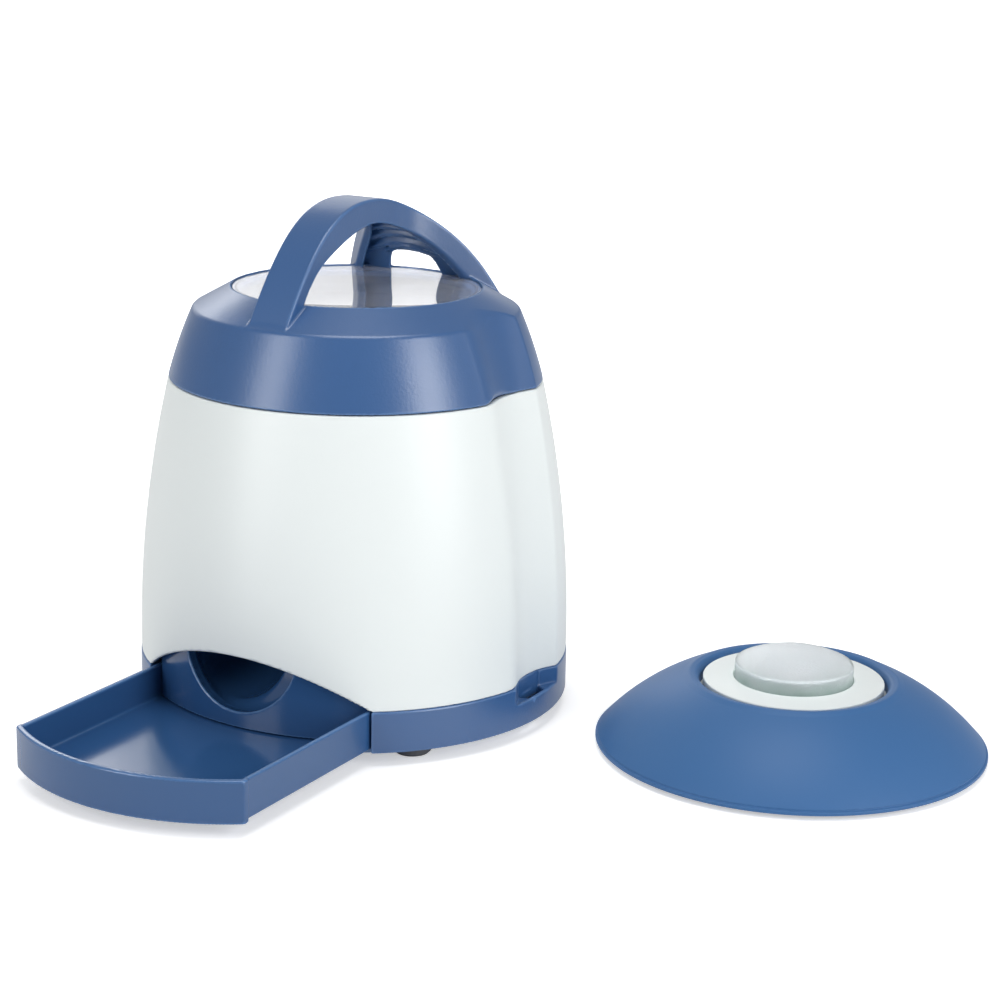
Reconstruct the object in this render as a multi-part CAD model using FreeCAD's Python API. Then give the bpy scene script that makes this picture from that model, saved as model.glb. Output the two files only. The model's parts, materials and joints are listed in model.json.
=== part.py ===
import FreeCAD, Part

import math
import os

from FreeCAD import Vector

# A treat dispenser with a pull-out tray, and the round push-button remote that stands beside it.
# All sizes are in millimetres. The dispenser's pieces are built about its own vertical axis and the
# remote's about its own, then both are set down with the row's origin at the bottom centre of the set.
# The tray's front faces -Y and the remote stands towards +X.

# Shared wall and fit values
wall = 2.4
rib_wall = 2.0
gap = 0.3
shaft_gap = 0.05
sheet = 0.5

# Dispenser casing
base_radius = 70.0
cover_height = 3.3
cover_wall = 1.6
ring_lift = 1.0
ring_height = 13.4
shell_setback = 0.2
shell_height = 89.9
shell_bulge = 2.7
seam_radius = 60.0
seam_gap = 0.3
band_height = 22.1
band_bulge = 0.47
ridge_radius = 52.2
chamfer_height = 7.0
window_radius = 39.8
window_wall = 2.0
window_ledge = 3.0
window_inset = 0.3
arch_rise = 14.3
hopper_ledge_drop = 10.1
hopper_ledge_gap = 6.4

# Finger flutes on the two sides
flute_half_chord = 13.5
flute_depth_low = 5.1
flute_depth_high = 4.1
pocket_depth = 5.5
pocket_slot_inner = 7.0
pocket_slot_outer = 5.2
pocket_slot_width = 3.2

# Carrying handle, one moulding with the lid
handle_rise = 34.9
handle_half_width = 7.0
handle_spread = 26.8
handle_wall = 2.5
fork_radius = 10.9
fork_centre = 41.2
fork_angle = math.radians(31.4)
fork_wall = 2.1
fork_lip_height = 14.9
fork_lip_fall = 1.11
rib_centre = 62.0
rib_first_radius = 40.2
rib_pitch = 3.1
rib_count = 3
rib_height = 6.1
arch_rib_wall = 1.2

# The handle's side view, as shares of the ridge radius and of the handle's rise, front to back
handle_top_line = [(-1.050, -0.186), (-0.948, 0.057), (-0.536, 0.771), (-0.019, 1.0), (0.230, 0.940),
                   (0.402, 0.822), (0.556, 0.619), (0.670, 0.381), (0.747, 0.163), (0.824, -0.115)]
handle_low_line = [(-0.828, 0.043), (-0.766, 0.203), (-0.460, 0.587), (0.0, 0.771), (0.230, 0.708),
                   (0.402, 0.587), (0.517, 0.418), (0.594, 0.252), (0.670, 0.057)]

# The handle's plan: places along it, as shares of the ridge radius, with the share of its spread
handle_side_line = [(-1.341, 0.007), (-0.479, 0.0), (-0.096, 0.0), (0.172, 0.004), (0.287, 0.034),
                    (0.402, 0.146), (0.517, 0.340), (0.632, 0.563), (0.747, 0.784), (0.862, 1.0),
                    (1.149, 1.530)]

# Tray
tray_half_width = 41.3
tray_wall = 1.6
tray_front_wall = 1.8
tray_floor = 1.6
tray_rear = 19.5
tray_pull = 65.0
tray_side_setback = 0.4
tray_stop_height = 3.0
tray_stop_width = 6.0

# Front wall and chute
front_wall_radius = 90.0
front_wall_face = 57.5
front_wall_height = 50.8
mouth_offset = -8.0
mouth_height = 33.0
mouth_radius = 19.5
mouth_bead = 4.5
mouth_bead_proud = 1.4

# Hopper, dosing rotor and drop hole
well_radius = 46.0
well_height = 15.0
hopper_rim_radius = 51.0
hopper_flange = 4.2
rotor_height = 12.0
rotor_lift = 0.6
rotor_clearance = 0.7
rotor_pockets = 6
pocket_radius = 13.5
pocket_circle = 30.0
rotor_hub_radius = 11.0
rotor_hub_rise = 6.0
guard_height = 7.0
shaft_radius = 3.0
shaft_flat = 2.3

# Gears
gear_module = 0.8
gear_width = 5.0
gear_backlash = 0.14
pressure_angle = math.radians(20.0)
drive_teeth = 40
pinion_teeth = 10
idler_teeth = 30
idler_direction = math.radians(15.0)
motor_direction = math.radians(40.0)
motor_radius = 10.2
motor_length = 20.8
motor_flat = 15.4
motor_shaft_radius = 1.0
idler_pin_radius = 1.5

# Cells: four upright in the dispenser, two lying in the remote
cell_radius = 7.25
cell_length = 50.5
cell_pitch = 15.5
small_cell_radius = 5.25
small_cell_length = 44.5
cell_nub = 1.0
box_wall = 1.2

# Screws, feet and switch
screw_radius = 1.25
screw_head_radius = 3.0
screw_head = 1.4
boss_radius = 4.0
post_radius = 3.6
foot_radius = 6.0
foot_circle = 58.3
knob_travel = 2.5

# Remote, heights above the floor
remote_gap = 15.1
remote_bearing = math.radians(12.1)
remote_radius = 61.5
remote_rim = 1.5
rim_height = 1.4
rim_step = 0.4
skirt_bulge = 1.4
skirt_wall = 2.2
skirt_crest_radius = 34.6
skirt_crest_height = 22.2
skirt_lip_radius = 31.4
skirt_lip_rise = 1.1
plate_radius = 28.3
plate_height = 22.5
plate_wall = 1.8
skirt_seat = 18.0
lens_radius = 18.5
lens_side = 4.6
lens_rise = 4.4
lens_wall = 1.8
lens_flange = 1.9
button_travel = 1.5
remote_floor = 2.6
remote_floor_wall = 2.0
remote_rib_count = 8
board_wall = 1.5
spring_radius = 7.0
spring_wire = 0.35
spring_turns = 4


# Levels and radii that follow from the values above
cover_top = cover_height + cover_wall
ring_bottom = cover_height + ring_lift
ring_top = ring_bottom + ring_height
shell_top = ring_top + shell_height
lid_bottom = shell_top + seam_gap
ridge_top = lid_bottom + band_height
rim_top = ridge_top + chamfer_height
window_top = rim_top - window_inset
window_bottom = window_top - window_wall
tray_bottom = cover_top + gap
tray_floor_top = tray_bottom + tray_floor
tray_top = ring_top - 0.1
tray_inner = tray_half_width - tray_side_setback - tray_wall
deck_bottom = ring_top + 0.5
deck_top = deck_bottom + rib_wall
front_wall_bottom = tray_floor_top + 0.4
front_wall_half = tray_inner - gap
front_wall_centre = front_wall_radius - front_wall_face
cell_bottom = cover_top + 2.4
box_top = cell_bottom + cell_length + 1.2 + box_wall
box_half = 1.5 * cell_pitch + cell_radius + 0.4 + box_wall
box_front = tray_rear + 17.8
box_back = box_front + 2 * (cell_radius + 0.4 + box_wall)
box_centre = 0.5 * (box_front + box_back)
hopper_bottom = box_top + 0.4
hopper_floor = hopper_bottom + rib_wall
ledge_bottom = shell_top - hopper_ledge_drop
ledge_radius = seam_radius - hopper_ledge_gap
skirt_radius = ledge_radius - 2 * gap
rotor_bottom = hopper_floor + rotor_lift
rotor_top = rotor_bottom + rotor_height
rotor_radius = well_radius - rotor_clearance
drop_angle = math.pi + math.acos(-mouth_offset / pocket_circle)
drop_x = pocket_circle * math.cos(drop_angle)
drop_y = pocket_circle * math.sin(drop_angle)
gear_bottom = deck_top + 2.6
idler_top = gear_bottom + 2 * gear_width
gearbox_bottom = idler_top + 1.2
gearbox_top = gearbox_bottom + rib_wall
drive_distance = 0.5 * gear_module * (drive_teeth + pinion_teeth)
motor_distance = 0.5 * gear_module * (idler_teeth + pinion_teeth)
idler_x = drive_distance * math.cos(idler_direction)
idler_y = drive_distance * math.sin(idler_direction)
motor_x = idler_x + motor_distance * math.cos(motor_direction)
motor_y = idler_y + motor_distance * math.sin(motor_direction)
guide_inner = tray_half_width + gap
screw_x = guide_inner + rib_wall + boss_radius + 2.5
screw_circle = base_radius - wall - 10.3
remote_distance = base_radius + remote_gap + remote_radius
remote_x = remote_distance * math.cos(remote_bearing)
remote_y = remote_distance * math.sin(remote_bearing)
remote_cover_top = remote_floor + remote_floor_wall
board_bottom = remote_cover_top + 0.4 + 2 * small_cell_radius + 0.5
board_top = board_bottom + board_wall
lens_top = plate_height + lens_side + lens_rise
core_radius = plate_radius - rib_wall
spring_top = plate_height + 4.9


# Small shape helpers

def cylinder(radius, bottom, top, x=0.0, y=0.0):
    return Part.makeCylinder(radius, top - bottom, Vector(x, y, bottom))


def cone(low_radius, high_radius, bottom, top, x=0.0, y=0.0):
    return Part.makeCone(low_radius, high_radius, top - bottom, Vector(x, y, bottom))


def box(x0, x1, y0, y1, z0, z1):
    return Part.makeBox(x1 - x0, y1 - y0, z1 - z0, Vector(x0, y0, z0))


def rounded_box(x0, x1, y0, y1, z0, z1, radius):
    block = box(x0, x1, y0, y1, z0, z1)
    upright = [edge for edge in block.Edges if abs(edge.BoundBox.ZLength - (z1 - z0)) < 1e-6]
    return block.makeFillet(radius, upright)


def arc_middle(start, end, bulge):
    """The point of an arc midway between start and end, bulge away from their chord, to its right."""
    du, dv = end[0] - start[0], end[1] - start[1]
    length = math.hypot(du, dv)
    return (0.5 * (start[0] + end[0]) + bulge * dv / length,
            0.5 * (start[1] + end[1]) - bulge * du / length)


def dome_middle(start, top):
    """A point halfway along a round dome that runs from start up to its pole on the axis."""
    rise = top - start[1]
    radius = (start[0] ** 2 + rise ** 2) / (2 * rise)
    half = 0.5 * math.asin(min(1.0, start[0] / radius))
    return (radius * math.sin(half), top - radius + radius * math.cos(half))


def closed_face(to_point, start, *steps):
    """A flat face: a step is a point for a line, or a pair of points for an arc through the first."""
    edges = []
    first = here = to_point(*start)
    for step in steps:
        if isinstance(step[0], tuple):
            middle, end = to_point(*step[0]), to_point(*step[1])
            edges.append(Part.Arc(here, middle, end).toShape())
        else:
            end = to_point(*step)
            edges.append(Part.LineSegment(here, end).toShape())
        here = end
    if (here - first).Length > 1e-7:
        edges.append(Part.LineSegment(here, first).toShape())
    return Part.Face(Part.Wire(edges))


def upright_plane(u, v):
    return Vector(u, 0, v)


def floor_plane(u, v):
    return Vector(u, v, 0)


def turned(start, *steps):
    """A solid of revolution about the vertical axis from a radius and height outline."""
    return closed_face(upright_plane, start, *steps).revolve(Vector(0, 0, 0), Vector(0, 0, 1), 360)


def prism(bottom, top, start, *steps):
    """A vertical prism from a plan outline."""
    face = closed_face(floor_plane, start, *steps)
    face.translate(Vector(0, 0, bottom))
    return face.extrude(Vector(0, 0, top - bottom))


def turn_about_z(shape, degrees):
    copy = shape.copy()
    copy.rotate(Vector(0, 0, 0), Vector(0, 0, 1), degrees)
    return copy


def moved(shape, x=0.0, y=0.0, z=0.0):
    copy = shape.copy()
    copy.translate(Vector(x, y, z))
    return copy


def spline(points):
    curve = Part.BSplineCurve()
    curve.interpolate(points)
    return curve


def screw(x, y, head_bottom, length):
    """A pan-head screw driven upwards, with its head at the bottom."""
    head = cone(screw_head_radius - 0.5, screw_head_radius, head_bottom, head_bottom + screw_head, x, y)
    shank = cylinder(screw_radius, head_bottom + screw_head, head_bottom + screw_head + length, x, y)
    cross = box(x - 1.6, x + 1.6, y - 0.35, y + 0.35, head_bottom, head_bottom + 0.7)
    cross = cross.fuse(box(x - 0.35, x + 0.35, y - 1.6, y + 1.6, head_bottom, head_bottom + 0.7))
    return head.fuse(shank).cut(cross)


def screw_hole(x, y, bottom, top):
    return cylinder(screw_radius + 0.15, bottom, top, x, y)


# Outer form of the dispenser

shell_low = (base_radius - shell_setback, ring_top)
shell_high = (seam_radius, shell_top)
band_low = (seam_radius, lid_bottom)
band_high = (ridge_radius, ridge_top)


def arc_radius(height, start, end, bulge):
    """The radius at a height of the arc from start to end."""
    middle = arc_middle(start, end, bulge)
    circle = Part.Arc(*(upright_plane(*point) for point in (start, middle, end))).toShape().Curve
    rise = height - circle.Center.z
    return circle.Center.x + math.sqrt(circle.Radius ** 2 - rise ** 2)


def body_radius(height):
    if height <= ring_top:
        return base_radius
    if height <= lid_bottom:
        return arc_radius(height, shell_low, shell_high, shell_bulge)
    return arc_radius(height, band_low, band_high, band_bulge)


def flute_depth(height):
    share = (height - ring_top) / (lid_bottom - ring_top)
    return flute_depth_low + share * (flute_depth_high - flute_depth_low)


def flute_cutter(bottom, thicker=0.0):
    """The two side grooves as solids: circles of growing size lofted along the body's side."""
    levels = [bottom, ring_top, ring_top + 0.25 * shell_height, ring_top + 0.5 * shell_height,
              ring_top + 0.75 * shell_height, lid_bottom, ridge_top, rim_top + 3.0]
    circles = []
    for level in sorted({level for level in levels if level >= bottom}):
        radius = body_radius(level)
        depth = flute_depth(level)
        sag = math.sqrt(radius ** 2 - flute_half_chord ** 2) - (radius - depth)
        flute_radius = (flute_half_chord ** 2 + sag ** 2) / (2 * sag)
        centre = Vector(radius - depth + flute_radius, 0, level)
        circles.append(Part.Wire(Part.Circle(centre, Vector(0, 0, 1), flute_radius + thicker).toShape()))
    groove = Part.makeLoft(circles, True)
    return groove.fuse(turn_about_z(groove, 180))


def outer_shell():
    low_inner = (shell_low[0] - wall, shell_low[1])
    high_inner = (shell_high[0] - wall, shell_high[1])
    outside = turned((0, ring_top), shell_low, (arc_middle(shell_low, shell_high, shell_bulge), shell_high),
                     (0, shell_top))
    inside = turned((0, ring_top), low_inner, (arc_middle(low_inner, high_inner, shell_bulge), high_inner),
                    (0, shell_top))
    ledge = cylinder(base_radius, ledge_bottom, ledge_bottom + rib_wall)
    ledge = ledge.cut(cylinder(ledge_radius, ledge_bottom - 1, ledge_bottom + rib_wall + 1))
    inside = inside.cut(flute_cutter(ring_top, wall)).cut(ledge)
    arch = closed_face(upright_plane, (-guide_inner, ring_top - 1), (-guide_inner, ring_top),
                       ((0, ring_top + arch_rise), (guide_inner, ring_top)), (guide_inner, ring_top - 1))
    arch = arch.extrude(Vector(0, -base_radius - 5, 0))
    return outside.cut(flute_cutter(ring_top)).cut(inside).cut(arch)


def ring_screw_places():
    side = math.sqrt(screw_circle ** 2 - screw_x ** 2)
    rear_x = box_half + boss_radius + 7.0
    rear_y = math.sqrt(screw_circle ** 2 - rear_x ** 2)
    return [(screw_x, -side), (-screw_x, -side), (rear_x, rear_y), (-rear_x, rear_y)]


door_screw = (0.0, tray_rear + 13.5)


def base_ring():
    """Ring wall with a seating lip, the tray's guides and back wall, and the screw bosses."""
    lip_outer = base_radius - wall - 0.3
    lip_inner = lip_outer - 2.5
    ring = turned((base_radius - wall, ring_bottom), (base_radius, ring_bottom), (base_radius, ring_top),
                  (lip_outer, ring_top), (lip_outer, deck_bottom), (lip_inner, deck_bottom),
                  (lip_inner, deck_bottom - 2.0), (base_radius - wall, deck_bottom - 4.8))
    pocket_floor = ring_top - pocket_depth
    inside = cylinder(base_radius - 0.5, pocket_floor - wall, ring_top)
    ring = ring.fuse(flute_cutter(pocket_floor - wall, wall).common(inside))
    ring = ring.cut(box(-guide_inner, guide_inner, -base_radius - 5, 0, 0, deck_bottom + 5))
    webs = []
    back = tray_rear + 2
    for side in (-1, 1):
        inner, outer = sorted((side * guide_inner, side * (guide_inner + rib_wall)))
        webs.append(box(inner, outer, -base_radius, back, cover_top, deck_bottom))
    webs.append(box(-base_radius, base_radius, back, back + rib_wall, cover_top, deck_bottom))
    for x, y in ring_screw_places():
        web = box(0, base_radius, -0.5 * rib_wall, 0.5 * rib_wall, cover_top, deck_bottom - 5)
        web = web.cut(cylinder(math.hypot(x, y), cover_top, deck_bottom))
        webs.append(turn_about_z(web, math.degrees(math.atan2(y, x))))
        webs.append(cylinder(boss_radius, cover_top, deck_bottom, x, y))
    x, y = door_screw
    webs.append(box(x - 0.5 * rib_wall, x + 0.5 * rib_wall, back, y, cover_top, deck_bottom - 5))
    webs.append(cylinder(boss_radius, cover_top, deck_bottom, x, y))
    inside = cylinder(base_radius - 0.5 * wall, cover_top, ring_top)
    inside = inside.fuse(cylinder(lip_outer, ring_top, deck_bottom))
    ring = ring.fuse([web.common(inside) for web in webs]).cut(flute_cutter(ring_top, wall + gap))
    ring = ring.cut(flute_cutter(pocket_floor))
    slot_inner = base_radius - flute_depth_low + 0.3
    for side in (-1, 1):
        slot = prism(pocket_floor - wall - 1, pocket_floor + 1,
                     (slot_inner, -pocket_slot_inner), (slot_inner + pocket_slot_width, -pocket_slot_outer),
                     (slot_inner + pocket_slot_width, pocket_slot_outer), (slot_inner, pocket_slot_inner))
        ring = ring.cut(turn_about_z(slot, 0 if side > 0 else 180))
    for x, y in ring_screw_places() + [door_screw]:
        ring = ring.cut(cylinder(screw_radius + shaft_gap, cover_top - 1, cover_top + 10.5, x, y))
    return ring.removeSplitter()


# Underside

cover_radius = base_radius - wall - 1.8
switch_x = -(guide_inner + rib_wall + 8.5)
switch_y = 8.0


def door_plan(grow, bottom, top):
    """The battery door's outline with its screw tab, grown by a gap for the opening it sits in."""
    plate = rounded_box(-box_half - 0.6 - grow, box_half + 0.6 + grow,
                        box_front - 0.6 - grow, box_back + 0.4 + grow, bottom, top, 6.0 + grow)
    tab = rounded_box(-boss_radius - 1.5 - grow, boss_radius + 1.5 + grow,
                      door_screw[1] - boss_radius - grow, box_front + 8, bottom, top, 2.0 + grow)
    return plate.fuse(tab).removeSplitter()


def bottom_cover():
    cover = cylinder(cover_radius, cover_height, cover_top)
    cover = cover.cut(door_plan(gap, cover_height - 1, cover_top + 1))
    reach = knob_travel + 3.2
    slot = rounded_box(switch_x - reach, switch_x + reach, switch_y - 2.3, switch_y + 2.3,
                       cover_height - 1, cover_top + 1, 1.0)
    cover = cover.cut(slot)
    for x, y in ring_screw_places():
        cover = cover.cut(screw_hole(x, y, cover_height - 1, cover_top + 1))
    return cover


def battery_door():
    door = door_plan(0.0, cover_height, cover_top)
    return door.cut(screw_hole(door_screw[0], door_screw[1], cover_height - 1, cover_top + 1))


def foot_places():
    front_x = tray_half_width + 3.7
    front_y = -math.sqrt(foot_circle ** 2 - front_x ** 2)
    return [(front_x, front_y), (-front_x, front_y),
            (foot_circle * math.cos(math.radians(22)), foot_circle * math.sin(math.radians(22))),
            (-foot_circle * math.cos(math.radians(22)), foot_circle * math.sin(math.radians(22)))]


def rubber_foot(radius, height, x, y):
    foot = turned((0, 0), (radius - 0.8, 0), (radius, 0.8), (radius, height), (0, height))
    return moved(foot, x, y)


def dispenser_feet():
    return Part.makeCompound([rubber_foot(foot_radius, cover_height, x, y) for x, y in foot_places()])


def case_screws():
    places = ring_screw_places() + [door_screw]
    return Part.makeCompound([screw(x, y, cover_height - screw_head, 10.0) for x, y in places])


# Mechanism deck, battery box and electrics

def post_places():
    return [(38.0, -22.0), (-38.0, -24.0), (0.0, box_front - 5.6)]


def gearbox_posts():
    return [(-4.0, 0.5 * gear_module * drive_teeth + 5.0), (idler_x + 17.0, idler_y - 11.5),
            (idler_x + 0.7, idler_y + 19.3)]


board_x0, board_x1, board_y0, board_y1 = -54.0, -31.5, -15.0, 33.0
board_lift = 5.0


def board_post_places():
    return [(x, y) for x in (board_x0 + 4.5, board_x1 - 2.5) for y in (board_y0 + 2.5, board_y1 - 6.0)]


def chassis_deck():
    radius = base_radius - shell_setback - wall - 0.6
    deck = cylinder(radius, deck_bottom, deck_top)
    front = box(-guide_inner - 1, guide_inner + 1, -base_radius, -0.5 * base_radius,
                deck_bottom - 1, deck_top + 1)
    deck = deck.cut(front.cut(cylinder(front_wall_radius - rib_wall - gap, deck_bottom - 1, deck_top + 1,
                                       0, front_wall_centre)))
    deck = deck.cut(chute_tube(rib_wall + 2 * gap)).cut(flute_cutter(ring_top, wall + gap))
    deck = deck.cut(box(-box_half - gap, box_half + gap, box_front - gap, box_back + gap,
                        deck_bottom - 1, deck_top + 1))
    deck = deck.fuse([cylinder(post_radius, deck_top, hopper_bottom, x, y) for x, y in post_places()])
    deck = deck.fuse([cylinder(2.5, deck_top, gearbox_bottom, x, y) for x, y in gearbox_posts()])
    deck = deck.fuse([cylinder(2.0, deck_top, deck_top + board_lift, x, y) for x, y in board_post_places()])
    deck = deck.fuse(cylinder(shaft_radius + 2.5, deck_top, gear_bottom - gap, 0, 0))
    deck = deck.fuse(cylinder(idler_pin_radius + 1.2, deck_top, gear_bottom - gap, idler_x, idler_y))
    deck = deck.cut(cylinder(shaft_radius + shaft_gap, deck_bottom + 0.8, gear_bottom))
    deck = deck.cut(cylinder(idler_pin_radius, deck_bottom + 0.8, gear_bottom, idler_x, idler_y))
    for x, y in gearbox_posts():
        deck = deck.cut(cylinder(0.8, gearbox_bottom - 8, gearbox_bottom + 1, x, y))
    return deck.removeSplitter()


def battery_box():
    outer = rounded_box(-box_half, box_half, box_front, box_back, cover_top, box_top, 3.0)
    inner = rounded_box(-box_half + box_wall, box_half - box_wall, box_front + box_wall, box_back - box_wall,
                        cover_top - 1, box_top - box_wall, 2.0)
    return outer.cut(inner)


def cell(radius, length, x, y, bottom, nub_up):
    """One round cell standing on bottom, with its nub up or down."""
    body_bottom = bottom if nub_up else bottom + cell_nub
    body = cylinder(radius, body_bottom, body_bottom + length - cell_nub, x, y)
    nub_bottom = bottom + length - cell_nub if nub_up else bottom
    return body.fuse(cylinder(0.38 * radius, nub_bottom, nub_bottom + cell_nub, x, y))


def cell_columns():
    return [(index - 1.5) * cell_pitch for index in range(4)]


def battery_cells():
    return Part.makeCompound([cell(cell_radius, cell_length, x, box_centre, cell_bottom, index % 2 == 0)
                              for index, x in enumerate(cell_columns())])


def battery_contacts():
    """Contact strips at both ends of the cells, with a small cone spring under each cell."""
    pieces = []
    columns = cell_columns()
    top = cell_bottom + cell_length + 0.3
    for left, right in ((0, 1), (2, 3)):
        pieces.append(box(columns[left] - 5, columns[right] + 5, box_centre - 4, box_centre + 4,
                          top, top + sheet))
    for left, right in ((0, 0), (1, 2), (3, 3)):
        strip = box(columns[left] - 5, columns[right] + 5, box_centre - 4, box_centre + 4,
                    cover_top, cover_top + sheet)
        springs = [cone(3.6, 2.6, cover_top + sheet, cell_bottom - 0.1, columns[index], box_centre)
                   for index in range(left, right + 1)]
        pieces.append(strip.fuse(springs))
    return Part.makeCompound(pieces)


def main_board():
    bottom = deck_top + board_lift
    return box(board_x0, board_x1, board_y0, board_y1, bottom, bottom + board_wall)


def board_parts():
    """The larger parts on the board: controller, driver, radio module, storage capacitor, plug."""
    top = deck_top + board_lift + board_wall
    controller = box(board_x0 + 6, board_x0 + 15, board_y0 + 9, board_y0 + 18, top, top + 1.8)
    driver = box(board_x0 + 16.5, board_x0 + 21, board_y0 + 8, board_y0 + 14, top, top + 1.6)
    radio = box(board_x0 + 7, board_x0 + 8.4, board_y0 + 24, board_y0 + 40, top, top + 11)
    store = cylinder(3.2, top, top + 8.0, board_x1 - 5.5, board_y0 + 22)
    plug = box(board_x1 - 8, board_x1 - 2, board_y0 + 1.5, board_y0 + 6, top, top + 5.5)
    return Part.makeCompound([controller, driver, radio, store, plug])


def buzzer():
    top = deck_top + board_lift + board_wall
    can = turned((2.0, top), (6.0, top), (6.0, top + 7.4), (5.4, top + 8.0), (1.0, top + 8.0),
                 (1.0, top + 5.0), (2.0, top + 5.0))
    return moved(can, board_x1 - 7.5, board_y1 - 8.5)


def power_switch():
    body = box(switch_x - 7.5, switch_x + 7.5, switch_y - 3.6, switch_y + 3.6, cover_top, cover_top + 6.0)
    channel = box(switch_x - knob_travel - 2.4, switch_x + knob_travel + 2.4, switch_y - 2.0, switch_y + 2.0,
                  cover_top - 1, cover_top + 3.0)
    return body.cut(channel)


def switch_knob():
    """The slide knob, drawn in the off position at the end of its slot."""
    x = switch_x - knob_travel
    knob = box(x - 2.2, x + 2.2, switch_y - 1.7, switch_y + 1.7, cover_height - 1.2, cover_top + 2.7)
    for offset in (-1.2, 0.0, 1.2):
        knob = knob.cut(box(x + offset - 0.25, x + offset + 0.25, switch_y - 2, switch_y + 2,
                            cover_height - 2, cover_height - 0.8))
    return knob


# Tray

def tray():
    """The drawer: curved front flush with the ring, two sides, a floor and two stops at the back."""
    def plan(half, radius, rear, bottom, top):
        corner = (half, -math.sqrt(radius ** 2 - half ** 2))
        return prism(bottom, top, (-corner[0], corner[1]), ((0, -radius), corner), (half, rear),
                     (-half, rear))

    side = tray_half_width - tray_side_setback
    body = plan(side, base_radius - 0.5 * tray_front_wall, tray_rear, tray_bottom, tray_top)
    front = plan(tray_half_width, base_radius, -0.5 * base_radius, ring_bottom, tray_top)
    inner_radius = base_radius - tray_front_wall
    front = front.cut(plan(tray_half_width + 5, inner_radius, 0, ring_bottom - 1, tray_top + 1))
    pocket = plan(tray_inner, inner_radius, tray_rear + 5, tray_floor_top, tray_top + 5)
    drawer = body.fuse(front).cut(pocket)
    stop_outer = front_wall_half - 3.4
    stop_x = stop_outer
    wall_back = front_wall_centre - math.sqrt((front_wall_radius - rib_wall) ** 2 - stop_x ** 2)
    stop_front = wall_back + tray_pull + gap
    for side in (-1, 1):
        inner, outer = sorted((side * (stop_outer - tray_stop_width), side * stop_outer))
        drawer = drawer.fuse(box(inner, outer, stop_front, tray_rear,
                                 tray_floor_top, tray_floor_top + tray_stop_height))
    return moved(drawer.removeSplitter(), 0, -tray_pull)


# Front wall with the chute

def chute_tube(thicker):
    """The elbow from the drop hole, straight down, to the mouth in the front wall."""
    mouth_y = -front_wall_face + 1.0
    circles = []
    for step in range(6):
        angle = math.radians(18.0 * step)
        along = math.sin(angle)
        centre = Vector(mouth_offset, mouth_y + (drop_y - mouth_y) * along,
                        hopper_bottom - (hopper_bottom - mouth_height) * math.cos(angle))
        tangent = Vector(0, (drop_y - mouth_y) * math.cos(angle), (hopper_bottom - mouth_height) * along)
        radius = mouth_radius + (pocket_radius + 0.8 - mouth_radius) * step / 5.0
        circles.append(Part.Wire(Part.Circle(centre, tangent, radius + thicker).toShape()))
    return Part.makeLoft(circles, True)


def chute_housing():
    bottom, top = front_wall_bottom, front_wall_bottom + front_wall_height
    centre = front_wall_centre
    front = box(-front_wall_half, front_wall_half, -base_radius, 0, bottom, top)
    panel = front.common(cylinder(front_wall_radius, bottom, top, 0, centre))
    panel = panel.cut(cylinder(front_wall_radius - rib_wall, bottom - 1, top + 1, 0, centre))
    bead = Part.makeCylinder(mouth_radius + mouth_bead, base_radius,
                             Vector(mouth_offset, -base_radius, mouth_height), Vector(0, 1, 0))
    bead = bead.common(cylinder(front_wall_radius + mouth_bead_proud, bottom, top, 0, centre))
    bead = bead.cut(cylinder(front_wall_radius - 0.5 * rib_wall, bottom - 1, top + 1, 0, centre))
    bead = bead.common(box(-base_radius, base_radius, -base_radius, 0, bottom, top))
    mouth = Part.makeCylinder(mouth_radius, base_radius - front_wall_face + 2.0,
                              Vector(mouth_offset, -base_radius, mouth_height), Vector(0, 1, 0))
    cheeks = []
    for side in (-1, 1):
        inner, outer = sorted((side * (front_wall_half - rib_wall), side * front_wall_half))
        cheek = box(inner, outer, -base_radius, tray_rear + 1.6, bottom, deck_bottom)
        cheek = cheek.common(cylinder(front_wall_radius - 0.5 * rib_wall, bottom, deck_bottom, 0, centre))
        cheeks.append(cheek)
    housing = panel.fuse(cheeks + [bead, chute_tube(rib_wall)])
    return housing.cut(mouth.fuse(chute_tube(0.0))).removeSplitter()


# Hopper, guard and rotor

def hopper():
    slope_top = (hopper_rim_radius, ledge_bottom)
    bowl = turned((0, hopper_bottom), (well_radius + rib_wall, hopper_bottom),
                  (well_radius + rib_wall, hopper_floor + well_height - 0.5),
                  (slope_top[0] + rib_wall - 0.4, ledge_bottom - rib_wall),
                  (slope_top[0] + hopper_flange, ledge_bottom - rib_wall),
                  (slope_top[0] + hopper_flange, ledge_bottom), slope_top,
                  (well_radius, hopper_floor + well_height), (well_radius, hopper_floor), (0, hopper_floor))
    bowl = bowl.fuse(cylinder(shaft_radius + 2.5, hopper_bottom - 3.0, hopper_bottom))
    bowl = bowl.cut(cylinder(shaft_radius + shaft_gap, hopper_bottom - 5, hopper_floor + 1))
    drop = cylinder(pocket_radius, hopper_bottom - 1, hopper_floor + 1, drop_x, drop_y)
    return bowl.cut(drop).removeSplitter()


def drop_guard():
    """A roof over the pocket that stands above the drop hole."""
    bottom = rotor_top + 0.7
    plate = cylinder(pocket_radius + 3.3, bottom, bottom + 1.5, drop_x, drop_y)
    roof = cone(pocket_radius + 1.5, 4.0, bottom + 1.5, bottom + 1.5 + guard_height, drop_x, drop_y)
    hollow = cone(pocket_radius - 0.5, 2.4, bottom + 1.4, bottom + guard_height, drop_x, drop_y)
    guard = plate.fuse(roof).cut(hollow)
    guard = guard.common(cylinder(well_radius - 0.2, bottom, bottom + 20))
    return guard.cut(cylinder(rotor_hub_radius + 1.2, bottom - 1, bottom + 20)).removeSplitter()


def flatted_shaft(grow, bottom, top):
    rod = cylinder(shaft_radius + grow, bottom, top)
    return rod.cut(box(shaft_flat + grow, shaft_radius + 1, -5, 5, bottom - 1, top + 1))


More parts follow.
